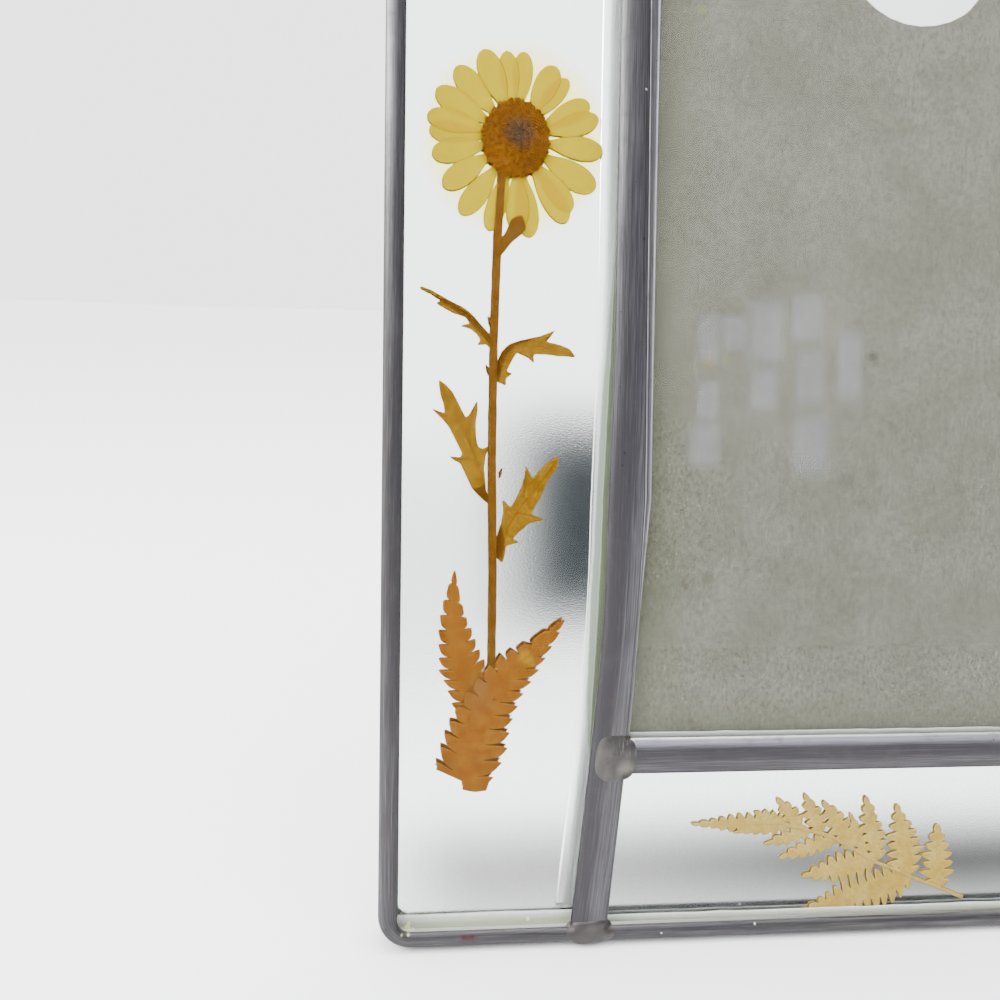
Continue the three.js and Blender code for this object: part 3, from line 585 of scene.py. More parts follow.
def vertical_section(v):
    """The came's section at height v: round body, beaded lip, heart and back leaf."""
    middle = came_centre(v)
    body, lip = interpolate(BODY_RIGHT, v), interpolate(LIP_RIGHT, v)
    left, reach = came_left(v), lip - body
    tones = tones_at(v, VERTICAL_TONES)
    size = min(1, reach / BEADS_WIDE)
    beads = [(step * size, -LEAF_EDGE - (rise - LEAF_EDGE) * size, rubbed_and_lit) for step, rise, rubbed_and_lit in LIP_BEAD]
    first = [(body + step, w, rubbed_and_lit) for step, w, rubbed_and_lit in beads]
    second = [(lip - step, w, rubbed_and_lit) for step, w, rubbed_and_lit in reversed(beads)]
    half, heart = CAME_FACE / 2, HEART / 2
    inside = [(lip, 0), (middle + heart, 0), (middle + heart, CHANNEL), (middle + half, CHANNEL)]
    back = crown(middle - half, middle + half, 1, PLAIN_TONES)
    other = [(middle - half, CHANNEL), (middle - heart, CHANNEL), (middle - heart, 0), (left, 0)]
    return [*crown(left, body, -1, tones), *first, *second, *hidden_points(inside), *reversed(back),
            *hidden_points(other)]


def vertical_came(material):
    heights = evenly(BOTTOM_FACE + CLEARANCE, HEIGHT - BORDER_FACE - CLEARANCE, 189)
    path = [((0, v), (1, 0)) for v in heights]
    came("vertical_lead_came", "vertical_came", material, path, [vertical_section(v) for v in heights])


def horizontal_came(material):
    start = came_centre(CROSS_V + CAME_FACE / 2) + CAME_FACE / 2 + CLEARANCE
    half, heart = CAME_FACE / 2, HEART / 2
    places = evenly(start, WIDTH / 2 - BORDER_FACE - CLEARANCE, 109)
    inside = [(half, 0), (heart, 0), (heart, CHANNEL), (half, CHANNEL)]
    other = [(-half, CHANNEL), (-heart, CHANNEL), (-heart, 0), (-half, 0)]
    section = [*crown(-half, half, -1, CROSS_TONES), *hidden_points(inside),
               *reversed(crown(-half, half, 1, PLAIN_TONES)), *hidden_points(other)]
    path = [((u, CROSS_V), (0, 1)) for u in places]
    came("horizontal_lead_came", "horizontal_came", material, path, [section] * len(path))


def border_path(step=1.0, corner_steps=14):
    """Places round the border's outer edge, anticlockwise, with the direction inwards at each."""
    side, radius, path = WIDTH / 2, CORNER_RADIUS, []
    corners = [(side - radius, radius, -90), (side - radius, HEIGHT - radius, 0),
               (radius - side, HEIGHT - radius, 90), (radius - side, radius, 180)]
    for i, (u, v, turn) in enumerate(corners):
        for j in range(corner_steps + 1):
            angle = math.radians(turn + 90 * j / corner_steps)
            out = (math.cos(angle), math.sin(angle))
            path.append(((u + radius * out[0], v + radius * out[1]), (-out[0], -out[1])))
        following = corners[(i + 1) % 4]
        angle = math.radians(following[2])
        goal = (following[0] + radius * math.cos(angle), following[1] + radius * math.sin(angle))
        start, inwards = path[-1]
        count = int(math.dist(start, goal) / step)
        for j in range(1, count):
            path.append((tuple(a + (b - a) * j / count for a, b in zip(start, goal)), inwards))
    return path


def border_section(v):
    share = max(0, min(1, v / CORNER_RADIUS))
    face = BOTTOM_FACE + (BORDER_FACE - BOTTOM_FACE) * share
    tones = tones_at(v, SIDE_TONES) if v > CORNER_RADIUS * 0.6 else FOOT_TONES
    inside = [(face, 0), (BORDER_WEB, 0), (BORDER_WEB, CHANNEL), (face, CHANNEL)]
    return [*crown(0, face, -1, tones, 14), *hidden_points(inside), *reversed(crown(0, face, 1, PLAIN_TONES, 14))]


def border_came(material):
    path = border_path()
    made = came("border_lead_came", "border_came", material, path, [border_section(spot[1]) for spot, _ in path], True)
    cut_slot(made)
    keep_in_box(made)


SLOT_W = (1.95, 4.7)


def cut_slot(border):
    """The slot in the border's top that the photo and its board slide in by."""
    mesh = bpy.data.meshes.new("slot")
    ends = (came_centre(HEIGHT) + CAME_FACE, WIDTH / 2 - BORDER_FACE)
    corners = [place(u, v, w) for u in ends for v in (HEIGHT - 2, HEIGHT + 1) for w in SLOT_W]
    mesh.from_pydata(corners, [], [
        (0, 1, 3, 2), (4, 6, 7, 5), (0, 4, 5, 1), (2, 3, 7, 6), (0, 2, 6, 4), (1, 5, 7, 3),
    ])
    cutter = linked("slot", mesh)
    change = border.modifiers.new("slot", "BOOLEAN")
    change.operation, change.object, change.solver = "DIFFERENCE", cutter, "EXACT"
    bpy.context.view_layer.update()
    graph = bpy.context.evaluated_depsgraph_get()
    border.data = bpy.data.meshes.new_from_object(border.evaluated_get(graph))
    border.modifiers.clear()
    bpy.data.objects.remove(cutter)


# ---- Solder joints: name, middle u and v, half width, half height
SOLDER_JOINTS = [
    ("middle", -28.9, 28.4, 4.4, 3.8), ("bottom", -31.7, 1.6, 3.3, 2.0),
    ("top", -27, 154.7, 3.3, 1.9), ("right", 61.3, 28.7, 2.3, 3.4),
]
# The two joints in the photo, as they show on the front
FRONT_SHAPES = {"middle": (-28, 28.5, 3.35, 3.7), "bottom": (-31.6, 1.6, 3.7, 1.8)}
SOLDER_PROUD = 2.1


def blob(u, v, middle_w, half_u, half_v, half_w, seed, wrinkle=0.07, rings=36, sides=56):
    """A lumpy ellipsoid as points and faces."""
    points = []
    for i in range(rings + 1):
        polar = math.pi * (0.004 + 0.992 * i / rings)
        for j in range(sides):
            turn = 2 * math.pi * j / sides
            x, y, z = math.sin(polar) * math.cos(turn), math.sin(polar) * math.sin(turn), math.cos(polar)
            spot = Vector((x, y, z)) * 1.3 + Vector((seed, 0, 0))
            lump = 1 + 0.09 * noise.noise(spot) + wrinkle * noise.noise(spot * 4.5)
            points.append((u + half_u * x * lump, v + half_v * z * lump, middle_w + half_w * y * lump))
    return points, ring_faces(rings + 1, sides) + end_faces(rings + 1, sides)


def dome(across, half):
    """How far a came's rounded face stands proud, the given distance from its middle line."""
    share = across / half
    return LEAF_EDGE + (CROWN - LEAF_EDGE) * math.sqrt(1 - share * share) if abs(share) < 1 else 0.0


def lead_relief(u, v, front):
    """How far the cames stand proud of the glass at a place on the plane."""
    middle, side, rise = came_centre(v), WIDTH / 2, 0.0
    left, right = middle - CAME_FACE / 2, middle + CAME_FACE / 2
    if front:
        right = interpolate(BODY_RIGHT, v)
        rise = LEAF_EDGE if right < u < interpolate(LIP_RIGHT, v) else 0.0
    rise = max(rise, dome(u - (left + right) / 2, (right - left) / 2))
    if u > middle:
        rise = max(rise, dome(v - CROSS_V, CAME_FACE / 2))
    rise = max(rise, dome(v - BOTTOM_FACE / 2, BOTTOM_FACE / 2), dome(v - HEIGHT + BORDER_FACE / 2, BORDER_FACE / 2))
    return max(rise, dome(side - BORDER_FACE / 2 - abs(u), BORDER_FACE / 2))


FILLET, SOLDER_THICK, SUNK_EDGE, EDGE_SHARE, SKIRT_W = 0.55, 0.4, 0.06, 0.25, 0.02


def solder_height(u, v, front, share, seed):
    """The solder's height: the cames' own shape, rounded off, under a skin that thins to the edge."""
    ring = [(u + FILLET * math.cos(a), v + FILLET * math.sin(a)) for a in (math.pi * k / 4 for k in range(8))]
    soft = (lead_relief(u, v, front) + sum(lead_relief(*spot, front) for spot in ring)) / 9
    wrinkle = 0.08 * rough(u, v, 0.4, seed) + 0.03 * rough(u, v * 1.6, 1.4, seed + 1)
    skin = (SOLDER_THICK + wrinkle) * (1 - share ** 4)
    edge = lead_relief(u, v, front) - SUNK_EDGE
    blend = min(1, (1 - share) / EDGE_SHARE)
    return min(SOLDER_PROUD - 0.05, max(0.03, edge + (max(soft, edge) - edge) * blend + skin))


def solder_skin(u, v, half_u, half_v, front, seed, rings=26, sides=72):
    """Rings of (u, v, height) points from a joint's middle outwards with a skirt below, and their faces."""
    points = [(u, v, solder_height(u, v, front, 0, seed))]
    for i in range(1, rings + 1):
        share = i / rings
        for j in range(sides):
            turn = 2 * math.pi * j / sides
            x, y = math.cos(turn), math.sin(turn)
            square = (abs(x) ** 3 + abs(y) ** 3) ** (-1 / 3)
            lump = square * (1 + 0.07 * noise.noise(Vector((x * 1.2, y * 1.2, seed)))) * share
            a, b = u + half_u * x * lump, v + half_v * y * lump
            points.append((a, b, solder_height(a, b, front, share, seed)))
    points += [(a, b, SKIRT_W) for a, b, _ in points[-sides:]]
    faces = [[0, 1 + j, 1 + (j + 1) % sides] for j in range(sides)] + ring_faces(rings + 1, sides, 1)
    return points, [*faces, [len(points) - 1 - j for j in range(sides)]]


def solder_joints(material):
    for number, (name, *shape) in enumerate(SOLDER_JOINTS):
        for side in ("front", "back"):
            front = side == "front"
            seen = FRONT_SHAPES.get(name, shape) if front else shape
            points, faces = solder_skin(*seen, front, 3 * number + front)
            piece = Builder()
            piece.add([(a, b, -h if front else CHANNEL + h) for a, b, h in points], faces)
            keep_in_box(piece.make(f"solder_lump_{name}_{side}", material, [f"solder_{name}_{side}"]))


# ---- Wire legs
LEG_TOP_V, LEG_BEND_V, LEG_BEND, LEG_FOOT = 108, 93, 7, 9
LEGS = {"easel_leg_left": -27, "easel_leg_right": 62}
# Half sizes of the lump of solder that holds a leg
LEG_LUMP = (1.9, 7, 1.9)


def leg_path(u, toe_y):
    """The leg's middle line in world millimetres: its corners are rounded by parabolas."""
    behind = CHANNEL + CROWN + CLEARANCE + WIRE_RADIUS
    corners = [place(u, LEG_TOP_V, behind) / MM, place(u, LEG_BEND_V, behind) / MM,
               Vector((u, toe_y - LEG_FOOT, WIRE_RADIUS)), Vector((u, toe_y, WIRE_RADIUS))]
    line = [corners[0]]
    for before, corner, after in zip(corners, corners[1:], corners[2:]):
        start = corner + (before - corner).normalized() * LEG_BEND
        end = corner + (after - corner).normalized() * LEG_BEND
        count = max(2, int((start - line[-1]).length / 1.5))
        line += [line[-1].lerp(start, i / count) for i in range(1, count + 1)]
        line += [start.lerp(corner, t).lerp(corner.lerp(end, t), t) for t in (i / 10 for i in range(1, 11))]
    return [*line, corners[-1]]


def easel_leg(name, u, wire, solder):
    toe_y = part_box(name)[1].y / MM
    line, sides = leg_path(u, toe_y), 20
    points = []
    for i, spot in enumerate(line):
        ahead = (line[min(i + 1, len(line) - 1)] - line[max(i - 1, 0)]).normalized()
        up = ahead.cross(Vector((1, 0, 0)))
        for j in range(sides):
            turn = 2 * math.pi * j / sides
            radius = WIRE_RADIUS * (1 + 0.015 * noise.noise(spot * 0.4 + Vector((j, 0, 0))))
            offset = Vector((1, 0, 0)) * math.cos(turn) + up * math.sin(turn)
            points.append(tuple(spot + offset * radius))
    faces = ring_faces(len(line), sides) + end_faces(len(line), sides)
    back, middle = CHANNEL + CROWN, (LEG_TOP_V + LEG_BEND_V) / 2
    lump, lump_faces = blob(u, middle, back + CLEARANCE + WIRE_RADIUS / 2, *LEG_LUMP, u, 0.05)
    piece = Builder()
    piece.add(points, faces, [(0.3 * i, 0.3 * i) for i in range(len(points))], polish=[0.5] * len(points))
    wire_faces = len(faces)
    piece.add([tuple(place(a, b, max(w, back)) / MM) for a, b, w in lump], lump_faces)
    made = piece.make(f"wire_{name}", wire, [name], world=True)
    made.data.materials.append(solder)
    for polygon in made.data.polygons:
        polygon.material_index = 1 if polygon.index >= wire_faces else 0
    keep_in_box(made)


# ---- The sealed margins seen through the glass, beside and below the silver
SILVER_EDGE = [(24, -30), (27, -31.4), (31, -31.75), (37, -31.8), (54, -31.55), (60, -31.15), (71, -30.9),
               (86, -30.1), (97, -29.35), (107, -28.85), (124, -28.5), (130, -28)]
# Part of the margin in sight under the came's leaf; width of the worn silver beside it, and its share
SEEN_UNDER_LEAF, WORN_MARGIN, BARE_FROM = 0.76, 2.8, 0.3
# Depths of the margins: just before the silver, and at the back of the front pane
MARGIN_W, PANE_BACK_W, MARGIN_THICK = 3.14, 1.9, 0.05
GLASS_FOOT, FILM_FOOT = BORDER_WEB + CLEARANCE, 1.1
# The strips along the panes' feet: their upper edges, and the depths of those of the two lower panes
LEFT_STRIP_TOP, BOTTOM_STRIP_TOP, WINDOW_STRIP_TOP = 3.45, 2.6, CROSS_V + 3.1
BOTTOM_STRIP_W, WINDOW_STRIP_W = 2.65, 1.84


def margin_strip(piece, rows, foot):
    """A sealed margin: rows of (u, v, w, share of the way across), its inner edge first."""
    points, faces = thin_sheet([tuple(spot[:3]) for row in rows for spot in row], len(rows[0]), MARGIN_THICK)
    piece.add(points, faces, across=[share for row in rows for *_, share in row] * 2, foot=[foot] * len(points))


def foot_rows(start, end, low, high, deep, step=1.2):
    """Rows of a strip along a pane's foot, from the pane's back at its lower edge to the depth at its upper."""
    places = evenly(start, end, int((end - start) / step))
    tops = [high + 0.1 * rough(u, 0, 0.35, 2) for u in places]
    shares = [j / 12 for j in range(13)]
    return [[(u, low + (top - low) * t, PANE_BACK_W + (deep - PANE_BACK_W) * t, t) for t in shares]
            for u, top in zip(places, tops)]


def pane_with_margin(node, glass, edge, rows_and_feet):
    """The node's own pane, with its sealed margins as thin films behind it."""
    piece = Builder()
    for rows, foot in rows_and_feet:
        margin_strip(piece, rows, foot)
    made = piece.make(f"{node}_with_margin", edge, [node])
    both = bmesh.new()
    both.from_mesh(made.data)
    for face in both.faces:
        face.material_index, face.smooth = 0, True
    films = len(both.faces)
    both.from_mesh(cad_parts[node].data)
    for number, face in enumerate(both.faces):
        if number >= films:
            face.material_index, face.smooth = 1, False
    both.to_mesh(made.data)
    both.free()
    made.data.materials.append(glass)


def crescent_rows(rows=170):
    """The margin beside the silver's edge: worn silver, then bare glass that ends behind the came."""
    low, high, made = GLASS_FOOT + 2.5, HEIGHT - BORDER_FACE, []
    for v in evenly(low, high, rows):
        ragged = 0.07 * rough(0, v, 2.2, 4) + 0.06 * rough(0, v, 6, 5)
        hidden = came_left(v) + SEEN_UNDER_LEAF
        start = min(interpolate(SILVER_EDGE, v) + ragged, hidden - 0.02)
        worn, end = hidden - WORN_MARGIN, came_centre(v) - HEART / 2 - CLEARANCE
        row = [(worn + (start - worn) * j / 6, BARE_FROM * j / 6) for j in range(6)]
        for u in evenly(start, end, 8):
            row.append((u, min(1, BARE_FROM + (1 - BARE_FROM) * (u - start) / (hidden - start))))
        made.append([(u, v, MARGIN_W, share) for u, share in row])
    return made


def glass_margins(glass, window_glass, edge):
    low, high = -WIDTH / 2 + BORDER_WEB + 0.4, came_centre(5) - HEART / 2 - 0.4
    left_foot = foot_rows(low, high, FILM_FOOT, LEFT_STRIP_TOP, MARGIN_W)
    pane_with_margin("left_glass", glass, edge, [(crescent_rows(), 0.0), (left_foot, 1.0)])
    low, high = (corner.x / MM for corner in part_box("bottom_glass"))
    foot = foot_rows(low + 1.6, high - 0.1, FILM_FOOT, BOTTOM_STRIP_TOP, BOTTOM_STRIP_W)
    pane_with_margin("bottom_glass", glass, edge, [(foot, 1.0)])
    low, high = (corner.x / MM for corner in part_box("window_glass"))
    window_foot = CROSS_V + HEART / 2 + CLEARANCE
    foot = foot_rows(low + 2.2, high - 0.1, window_foot, WINDOW_STRIP_TOP, WINDOW_STRIP_W)
    pane_with_margin("window_glass", window_glass, edge, [(foot, 1.0)])


# ---- Pressed plants: thin sheets between the panes, and how deep the front of each lies
SHEET, RIM_WIDE = 0.12, 0.22
STEM_W, TICK_W, BRACT_W, DISC_W, RACHIS_W, FROND_W, PETAL_W, LEAF_W = 2.42, 2.44, 2.46, 2.5, 2.72, 2.8, 2.82, 2.82
PINNA_LEFT_W, PINNA_RIGHT_W, LAYER = 2.84, 2.05, 0.05


def inside(point, outline):
    x, y = point
    hit = False
    for (x0, y0), (x1, y1) in zip(outline, outline[1:] + outline[:1]):
        if (y0 > y) != (y1 > y) and x < (x1 - x0) * (y - y0) / (y1 - y0) + x0:
            hit = not hit
    return hit


def resampled(line, step, closed=True):
    """Evenly spaced points along an outline, or along an open line up to its end."""
    made = []
    for start, end in zip(line, line[1:] + line[:1] if closed else line[1:]):
        count = max(1, round(math.dist(start, end) / step))
        made += [tuple(a + (b - a) * i / count for a, b in zip(start, end)) for i in range(count)]
    return made if closed else [*made, line[-1]]


def softened(outline, rounds=1):
    """The outline with each point drawn halfway towards its neighbours' middle."""
    for _ in range(rounds):
        around = zip(outline[-1:] + outline[:-1], outline, outline[1:] + outline[:1])
        outline = [tuple((a + 2 * b + c) / 4 for a, b, c in zip(p, q, r)) for p, q, r in around]
    return outline


def line_distance(point, line):
    best = 1e9
    for (x0, y0), (x1, y1) in zip(line, line[1:]):
        dx, dy = x1 - x0, y1 - y0
        t = max(0, min(1, ((point[0] - x0) * dx + (point[1] - y0) * dy) / (dx * dx + dy * dy + 1e-12)))
        best = min(best, math.hypot(point[0] - x0 - t * dx, point[1] - y0 - t * dy))
    return best


def pressed_sheet(piece, outline, front, spacing=0.3, seed=1, wave=0.04, veins=(), folds=(), thick=SHEET):
    """A closed thin sheet with the outline, gently waved, its veins and folds (for painted shade) as vertex values."""
    edge = resampled(outline, spacing)
    rim_line = edge + edge[:1]
    us, vs = [p[0] for p in edge], [p[1] for p in edge]
    grid, row, v = [], 0, min(vs)
    while v < max(vs):
        u = min(us) + (row % 2) * spacing / 2
        while u < max(us):
            if inside((u, v), edge) and line_distance((u, v), rim_line) > spacing * 0.45:
                grid.append((u, v))
            u += spacing
        v, row = v + spacing * 0.87, row + 1
    ring = list(range(len(edge)))
    flat, _, triangles, *_ = geometry.delaunay_2d_cdt(
        [Vector(p) for p in edge + grid], [], [ring], 1, 1e-5)
    rim, vein, fold, fronts = [], [], [], []
    for p in flat:
        rim.append(max(0, 1 - line_distance(p, rim_line) / RIM_WIDE) * 0.75)
        vein.append(max([0, *(0.75 * math.exp(-(line_distance(p, line) / reach) ** 2) for line, reach in veins)]))
        # Folded parts are marked for painted shade.
        fold.append(0.9 if any(inside(p, shape) for shape in folds) else 0)
        lift = wave * rough(p[0], p[1], 0.45, seed) + 0.4 * wave * rough(p[0], p[1], 1.6, seed + 1)
        fronts.append(front + lift - 0.02 * fold[-1] + 0.03 * rim[-1])
    count = len(flat)
    points = [(p[0], p[1], w) for p, w in zip(flat, fronts)]
    points += [(p[0], p[1], w + thick) for p, w in zip(flat, fronts)]
    used = {}
    for a, b, c in triangles:
        for pair in ((a, b), (b, c), (c, a)):
            used[pair] = True
    walls = [[a, b, b + count, a + count] for a, b in used if (b, a) not in used]
    faces = [list(t) for t in triangles] + [[i + count for i in t][::-1] for t in triangles] + walls
    piece.add(points, faces, rim=rim * 2, vein=vein * 2, fold=fold * 2)


# The daisy: direction in degrees, reach from the disc's middle, width
DISC_U, DISC_V = -44.4, 122.3
PETALS = [
    (111, 14.0, 3.7), (97, 13.1, 2.9), (85, 13.1, 3.0), (61, 12.6, 3.6), (49, 12.2, 2.7), (28, 12.7, 3.4),
    (16, 13.2, 3.3), (-6, 13.5, 3.5), (-29, 14.2, 3.9), (-50, 13.6, 3.2), (-57, 14.6, 3.4), (-80, 14.8, 3.5),
    (-88, 13.8, 3.4), (-105, 14.3, 3.0), (-125, 14.1, 3.4), (-146, 13.2, 3.5), (-167, 12.9, 3.5),
    (176, 13.1, 3.2), (167, 13.7, 3.3), (150, 13.9, 3.6), (131, 13.8, 3.6),
]
PETAL_ROOT, PETAL_THICK = 3.4, 0.06
PETAL_WIDTHS = [(0, 0.3), (0.2, 0.36), (0.3, 0.56), (0.42, 0.83), (0.55, 1), (0.68, 1.06), (0.8, 0.99), (0.9, 0.79),
                (0.955, 0.56), (0.985, 0.32), (1, 0.05)]


def petal_place(petal, s, t):
    """The place s along the petal, from 0 at its root to 1, and t across it, from -1 to 1."""
    degrees, reach, width = petal
    turn = math.radians(degrees)
    x = PETAL_ROOT + (reach - PETAL_ROOT) * s
    y = t * interpolate(PETAL_WIDTHS, s) * width / 2 + 0.12 * math.sin(3 * s + degrees)
    return (DISC_U + x * math.cos(turn) - y * math.sin(turn), DISC_V + x * math.sin(turn) + y * math.cos(turn))


def covered(point, petal):
    degrees, reach, width = petal
    turn = math.radians(degrees)
    du, dv = point[0] - DISC_U, point[1] - DISC_V
    s = (du * math.cos(turn) + dv * math.sin(turn) - PETAL_ROOT) / (reach - PETAL_ROOT)
    if not 0 < s < 1:
        return False
    y = dv * math.cos(turn) - du * math.sin(turn) - 0.12 * math.sin(3 * s + degrees)
    return abs(y) < interpolate(PETAL_WIDTHS, s) * width / 2


def daisy_petals(material):
    piece = Builder()
    rows, columns = 60, 18
    for number, petal in enumerate(PETALS):
        base = PETAL_W + 0.07 * (number % 3)
        top, uvs, overlap, root, rim = [], [], [], [], []
        for i in range(rows + 1):
            for j in range(columns + 1):
                s, t = i / rows, 2 * j / columns - 1
                u, v = petal_place(petal, s, t)
                top.append((u, v, base + 0.05 * t * t + 0.03 * rough(u, v, 0.5, number)))
                uvs.append((s * petal[1], t * petal[2] / 2))
                overlap.append(float(any(covered((u, v), other) for other in PETALS if other is not petal)))
                root.append(max(0, 1 - s / 0.32) * 0.8)
                rim.append(0.5 * max(0, (max(abs(t), (s - 0.9) / 0.1) - 0.86) / 0.14))
        points, faces = thin_sheet(top, columns + 1, PETAL_THICK)
        piece.add(points, faces, uvs * 2, overlap=overlap * 2, root=root * 2, rim=rim * 2)
    piece.make("pressed_daisy_petals", material, ["daisy_petals"])


DISC_HALF_U, DISC_HALF_V, FLORETS = 5.1, 5.8, 520
GOLDEN_TURN = math.pi * (3 - math.sqrt(5))


def daisy_disc(material):
    """Florets in a spiral over a low dome, the outermost ones lying outwards as a fringe."""
    piece = Builder()
    for i in range(FLORETS):
        share = math.sqrt((i + 0.5) / FLORETS)
        turn = i * GOLDEN_TURN
        u = DISC_U + DISC_HALF_U * 0.97 * share * math.cos(turn)
        v = DISC_V + DISC_HALF_V * 0.97 * share * math.sin(turn)
        size = 0.2 + 0.12 * share + 0.05 * rough(u, v, 2, 9)
        depth = DISC_W - 0.22 * (1 - share * share) + 0.05 * rough(u, v, 3, 4)
        points, faces = blob(u, v, depth, size, size, 0.16, i * 0.7, 0.25, 6, 9)
        if share > 0.9:
            stretch = 1.5 + 0.5 * rough(u, v, 3, 8)
            ahead = (math.cos(turn), math.sin(turn))
            moved = []
            for a, b, w in points:
                out = (a - u) * ahead[0] + (b - v) * ahead[1]
                moved.append((a + ahead[0] * out * (stretch - 1), b + ahead[1] * out * (stretch - 1), w))
            points = moved
        piece.add(points, faces)
    bed, bed_faces = blob(DISC_U, DISC_V, DISC_W + 0.08, DISC_HALF_U * 0.95, DISC_HALF_V * 0.95, 0.14, 2, 0.02)
    piece.add(bed, bed_faces)
    piece.make("pressed_daisy_disc", material, ["daisy_disc"])


# The stem's middle line and half widths, and the bract beside its top
STEM = [(-46.4, 117.2), (-46.5, 116), (-46.9, 108.4), (-47.3, 92.4), (-47.35, 73.8), (-47, 56.3), (-47, 40.4)]
BRACT = [(-46.9, 104.2), (-45.9, 105.4), (-44.7, 107), (-42.6, 108.8), (-43.3, 111), (-44.8, 110.4),
         (-46, 107.8), (-46.8, 107.2)]
STEM_HALF, RACHIS_HALF = 0.6, 0.28
STEM_TICKS = [(-47.8, 94.6, -0.5), (-47.9, 87.2, -0.6), (-46.2, 71.5, 0.5)]


def strip(line, half_width, step=0.35):
    """The outline of a strip of the half width along a line."""
    spots = resampled(line, step, closed=False)
    left, right = [], []
    for i, spot in enumerate(spots):
        before, after = spots[max(i - 1, 0)], spots[min(i + 1, len(spots) - 1)]
        long = math.dist(before, after)
        ahead = ((after[0] - before[0]) / long, (after[1] - before[1]) / long)
        half = half_width * (1 + 0.1 * rough(*spot, 0.5, 6))
        left.append((spot[0] - ahead[1] * half, spot[1] + ahead[0] * half))
        right.append((spot[0] + ahead[1] * half, spot[1] - ahead[0] * half))
    return right + left[::-1]


def daisy_stem(material):
    piece = Builder()
    pressed_sheet(piece, strip(STEM, STEM_HALF), STEM_W, 0.2, 3, 0.03, veins=[(STEM, 0.16)])
    pressed_sheet(piece, softened(resampled(BRACT, 0.5)), BRACT_W, 0.22, 5, 0.04,
                  veins=[([BRACT[0], BRACT[4]], 0.1)])
    for u, v, reach in STEM_TICKS:
        tick = [(u, v + 0.5), (u + reach, v + 1.2), (u + reach * 0.6, v), (u, v - 0.6)]
        pressed_sheet(piece, resampled(tick, 0.3), TICK_W, 0.25, 8, 0.01)
    piece.make("pressed_daisy_stem", material, ["daisy_stem"])


# ---- Leaves: their outlines come from the imported model; veins and folded parts, painted in shade, are drawn here
LEAF_VEINS = {
    "leaf_upper_left": [[(-47.2, 91.3), (-50.5, 94.6), (-54, 97), (-57.6, 99.2)], [(-50.5, 94), (-52, 94.2)]],
    "leaf_upper_right": [[(-46.4, 86.5), (-45.6, 89.6), (-43.6, 91.3), (-39.6, 91.2), (-35.6, 90.1)],
                         [(-40.5, 91.4), (-38.4, 93)], [(-42, 91.2), (-41.1, 89.4)]],
    "leaf_lower_left": [[(-47.6, 67.6), (-49, 72), (-50.6, 76), (-52.4, 79.6), (-55, 84.8)],
                        [(-51.2, 77.8), (-50, 82)], [(-52.6, 79.4), (-56, 81.2)], [(-50, 73.8), (-53.2, 74.2)]],
    "leaf_lower_right": [[(-45.8, 59), (-44.9, 63.4), (-42.8, 66.8), (-40.6, 69.4), (-37.4, 73.8)],
                         [(-43.4, 65.8), (-39.4, 65)], [(-42.4, 68), (-42.1, 72.2)], [(-45, 62.6), (-43.2, 61.6)]],
}
LEAF_FOLDS = {
    "leaf_upper_left": [[(-56, 98.6), (-53, 97.2), (-50, 95.1), (-47.2, 91.9), (-47.4, 90.8), (-50, 93.6),
                         (-53, 96.2), (-56, 98)]],
    "leaf_upper_right": [[(-46.9, 86), (-46.8, 88.6), (-46.1, 90.3), (-45.1, 91.4), (-43.3, 92.1), (-40.3, 92.8),
                          (-41.8, 92.1), (-44, 91.2), (-45.3, 89.8), (-46, 87.6)]],
    "leaf_lower_left": [[(-47.2, 66.6), (-48.6, 67.7), (-50.3, 69.4), (-49, 69.8), (-48, 70.4)]],
    "leaf_lower_right": [[(-46.2, 58.6), (-46.8, 59.2), (-46.5, 61.8), (-45.8, 64), (-45.2, 61.4), (-45.5, 59)]],
}


def outline_of(node):
    """The outline of a flat CAD piece on the frame's plane, from the edges of its front faces."""
    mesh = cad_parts[node].data
    back = PANEL.inverted()
    spots = [back @ vertex.co / MM for vertex in mesh.vertices]
    front = min(spot.y for spot in spots)
    keys = [(round(s.x, 3), round(s.z, 3)) for s in spots]
    edges = {}
    for polygon in mesh.polygons:
        if all(abs(spots[i].y - front) < 0.02 for i in polygon.vertices):
            ring = [keys[i] for i in polygon.vertices]
            for pair in zip(ring, ring[1:] + ring[:1]):
                edges[pair] = True
    rim = {a: b for a, b in edges if (b, a) not in edges}
    start = next(iter(rim))
    outline, spot = [start], rim[start]
    while spot != start:
        outline.append(spot)
        spot = rim[spot]
    return outline


def pressed_leaves(material):
    for node, lines in LEAF_VEINS.items():
        outline = softened(resampled(outline_of(node), 0.3))
        jagged = [(u + 0.05 * rough(u, v, 2.5, 1), v + 0.05 * rough(u, v, 2.5, 2)) for u, v in outline]
        piece = Builder()
        pressed_sheet(piece, jagged, LEAF_W, 0.22, len(node), 0.07,
                      veins=[(line, 0.13) for line in lines], folds=LEAF_FOLDS[node])
        piece.make(f"pressed_{node}", material, [node])


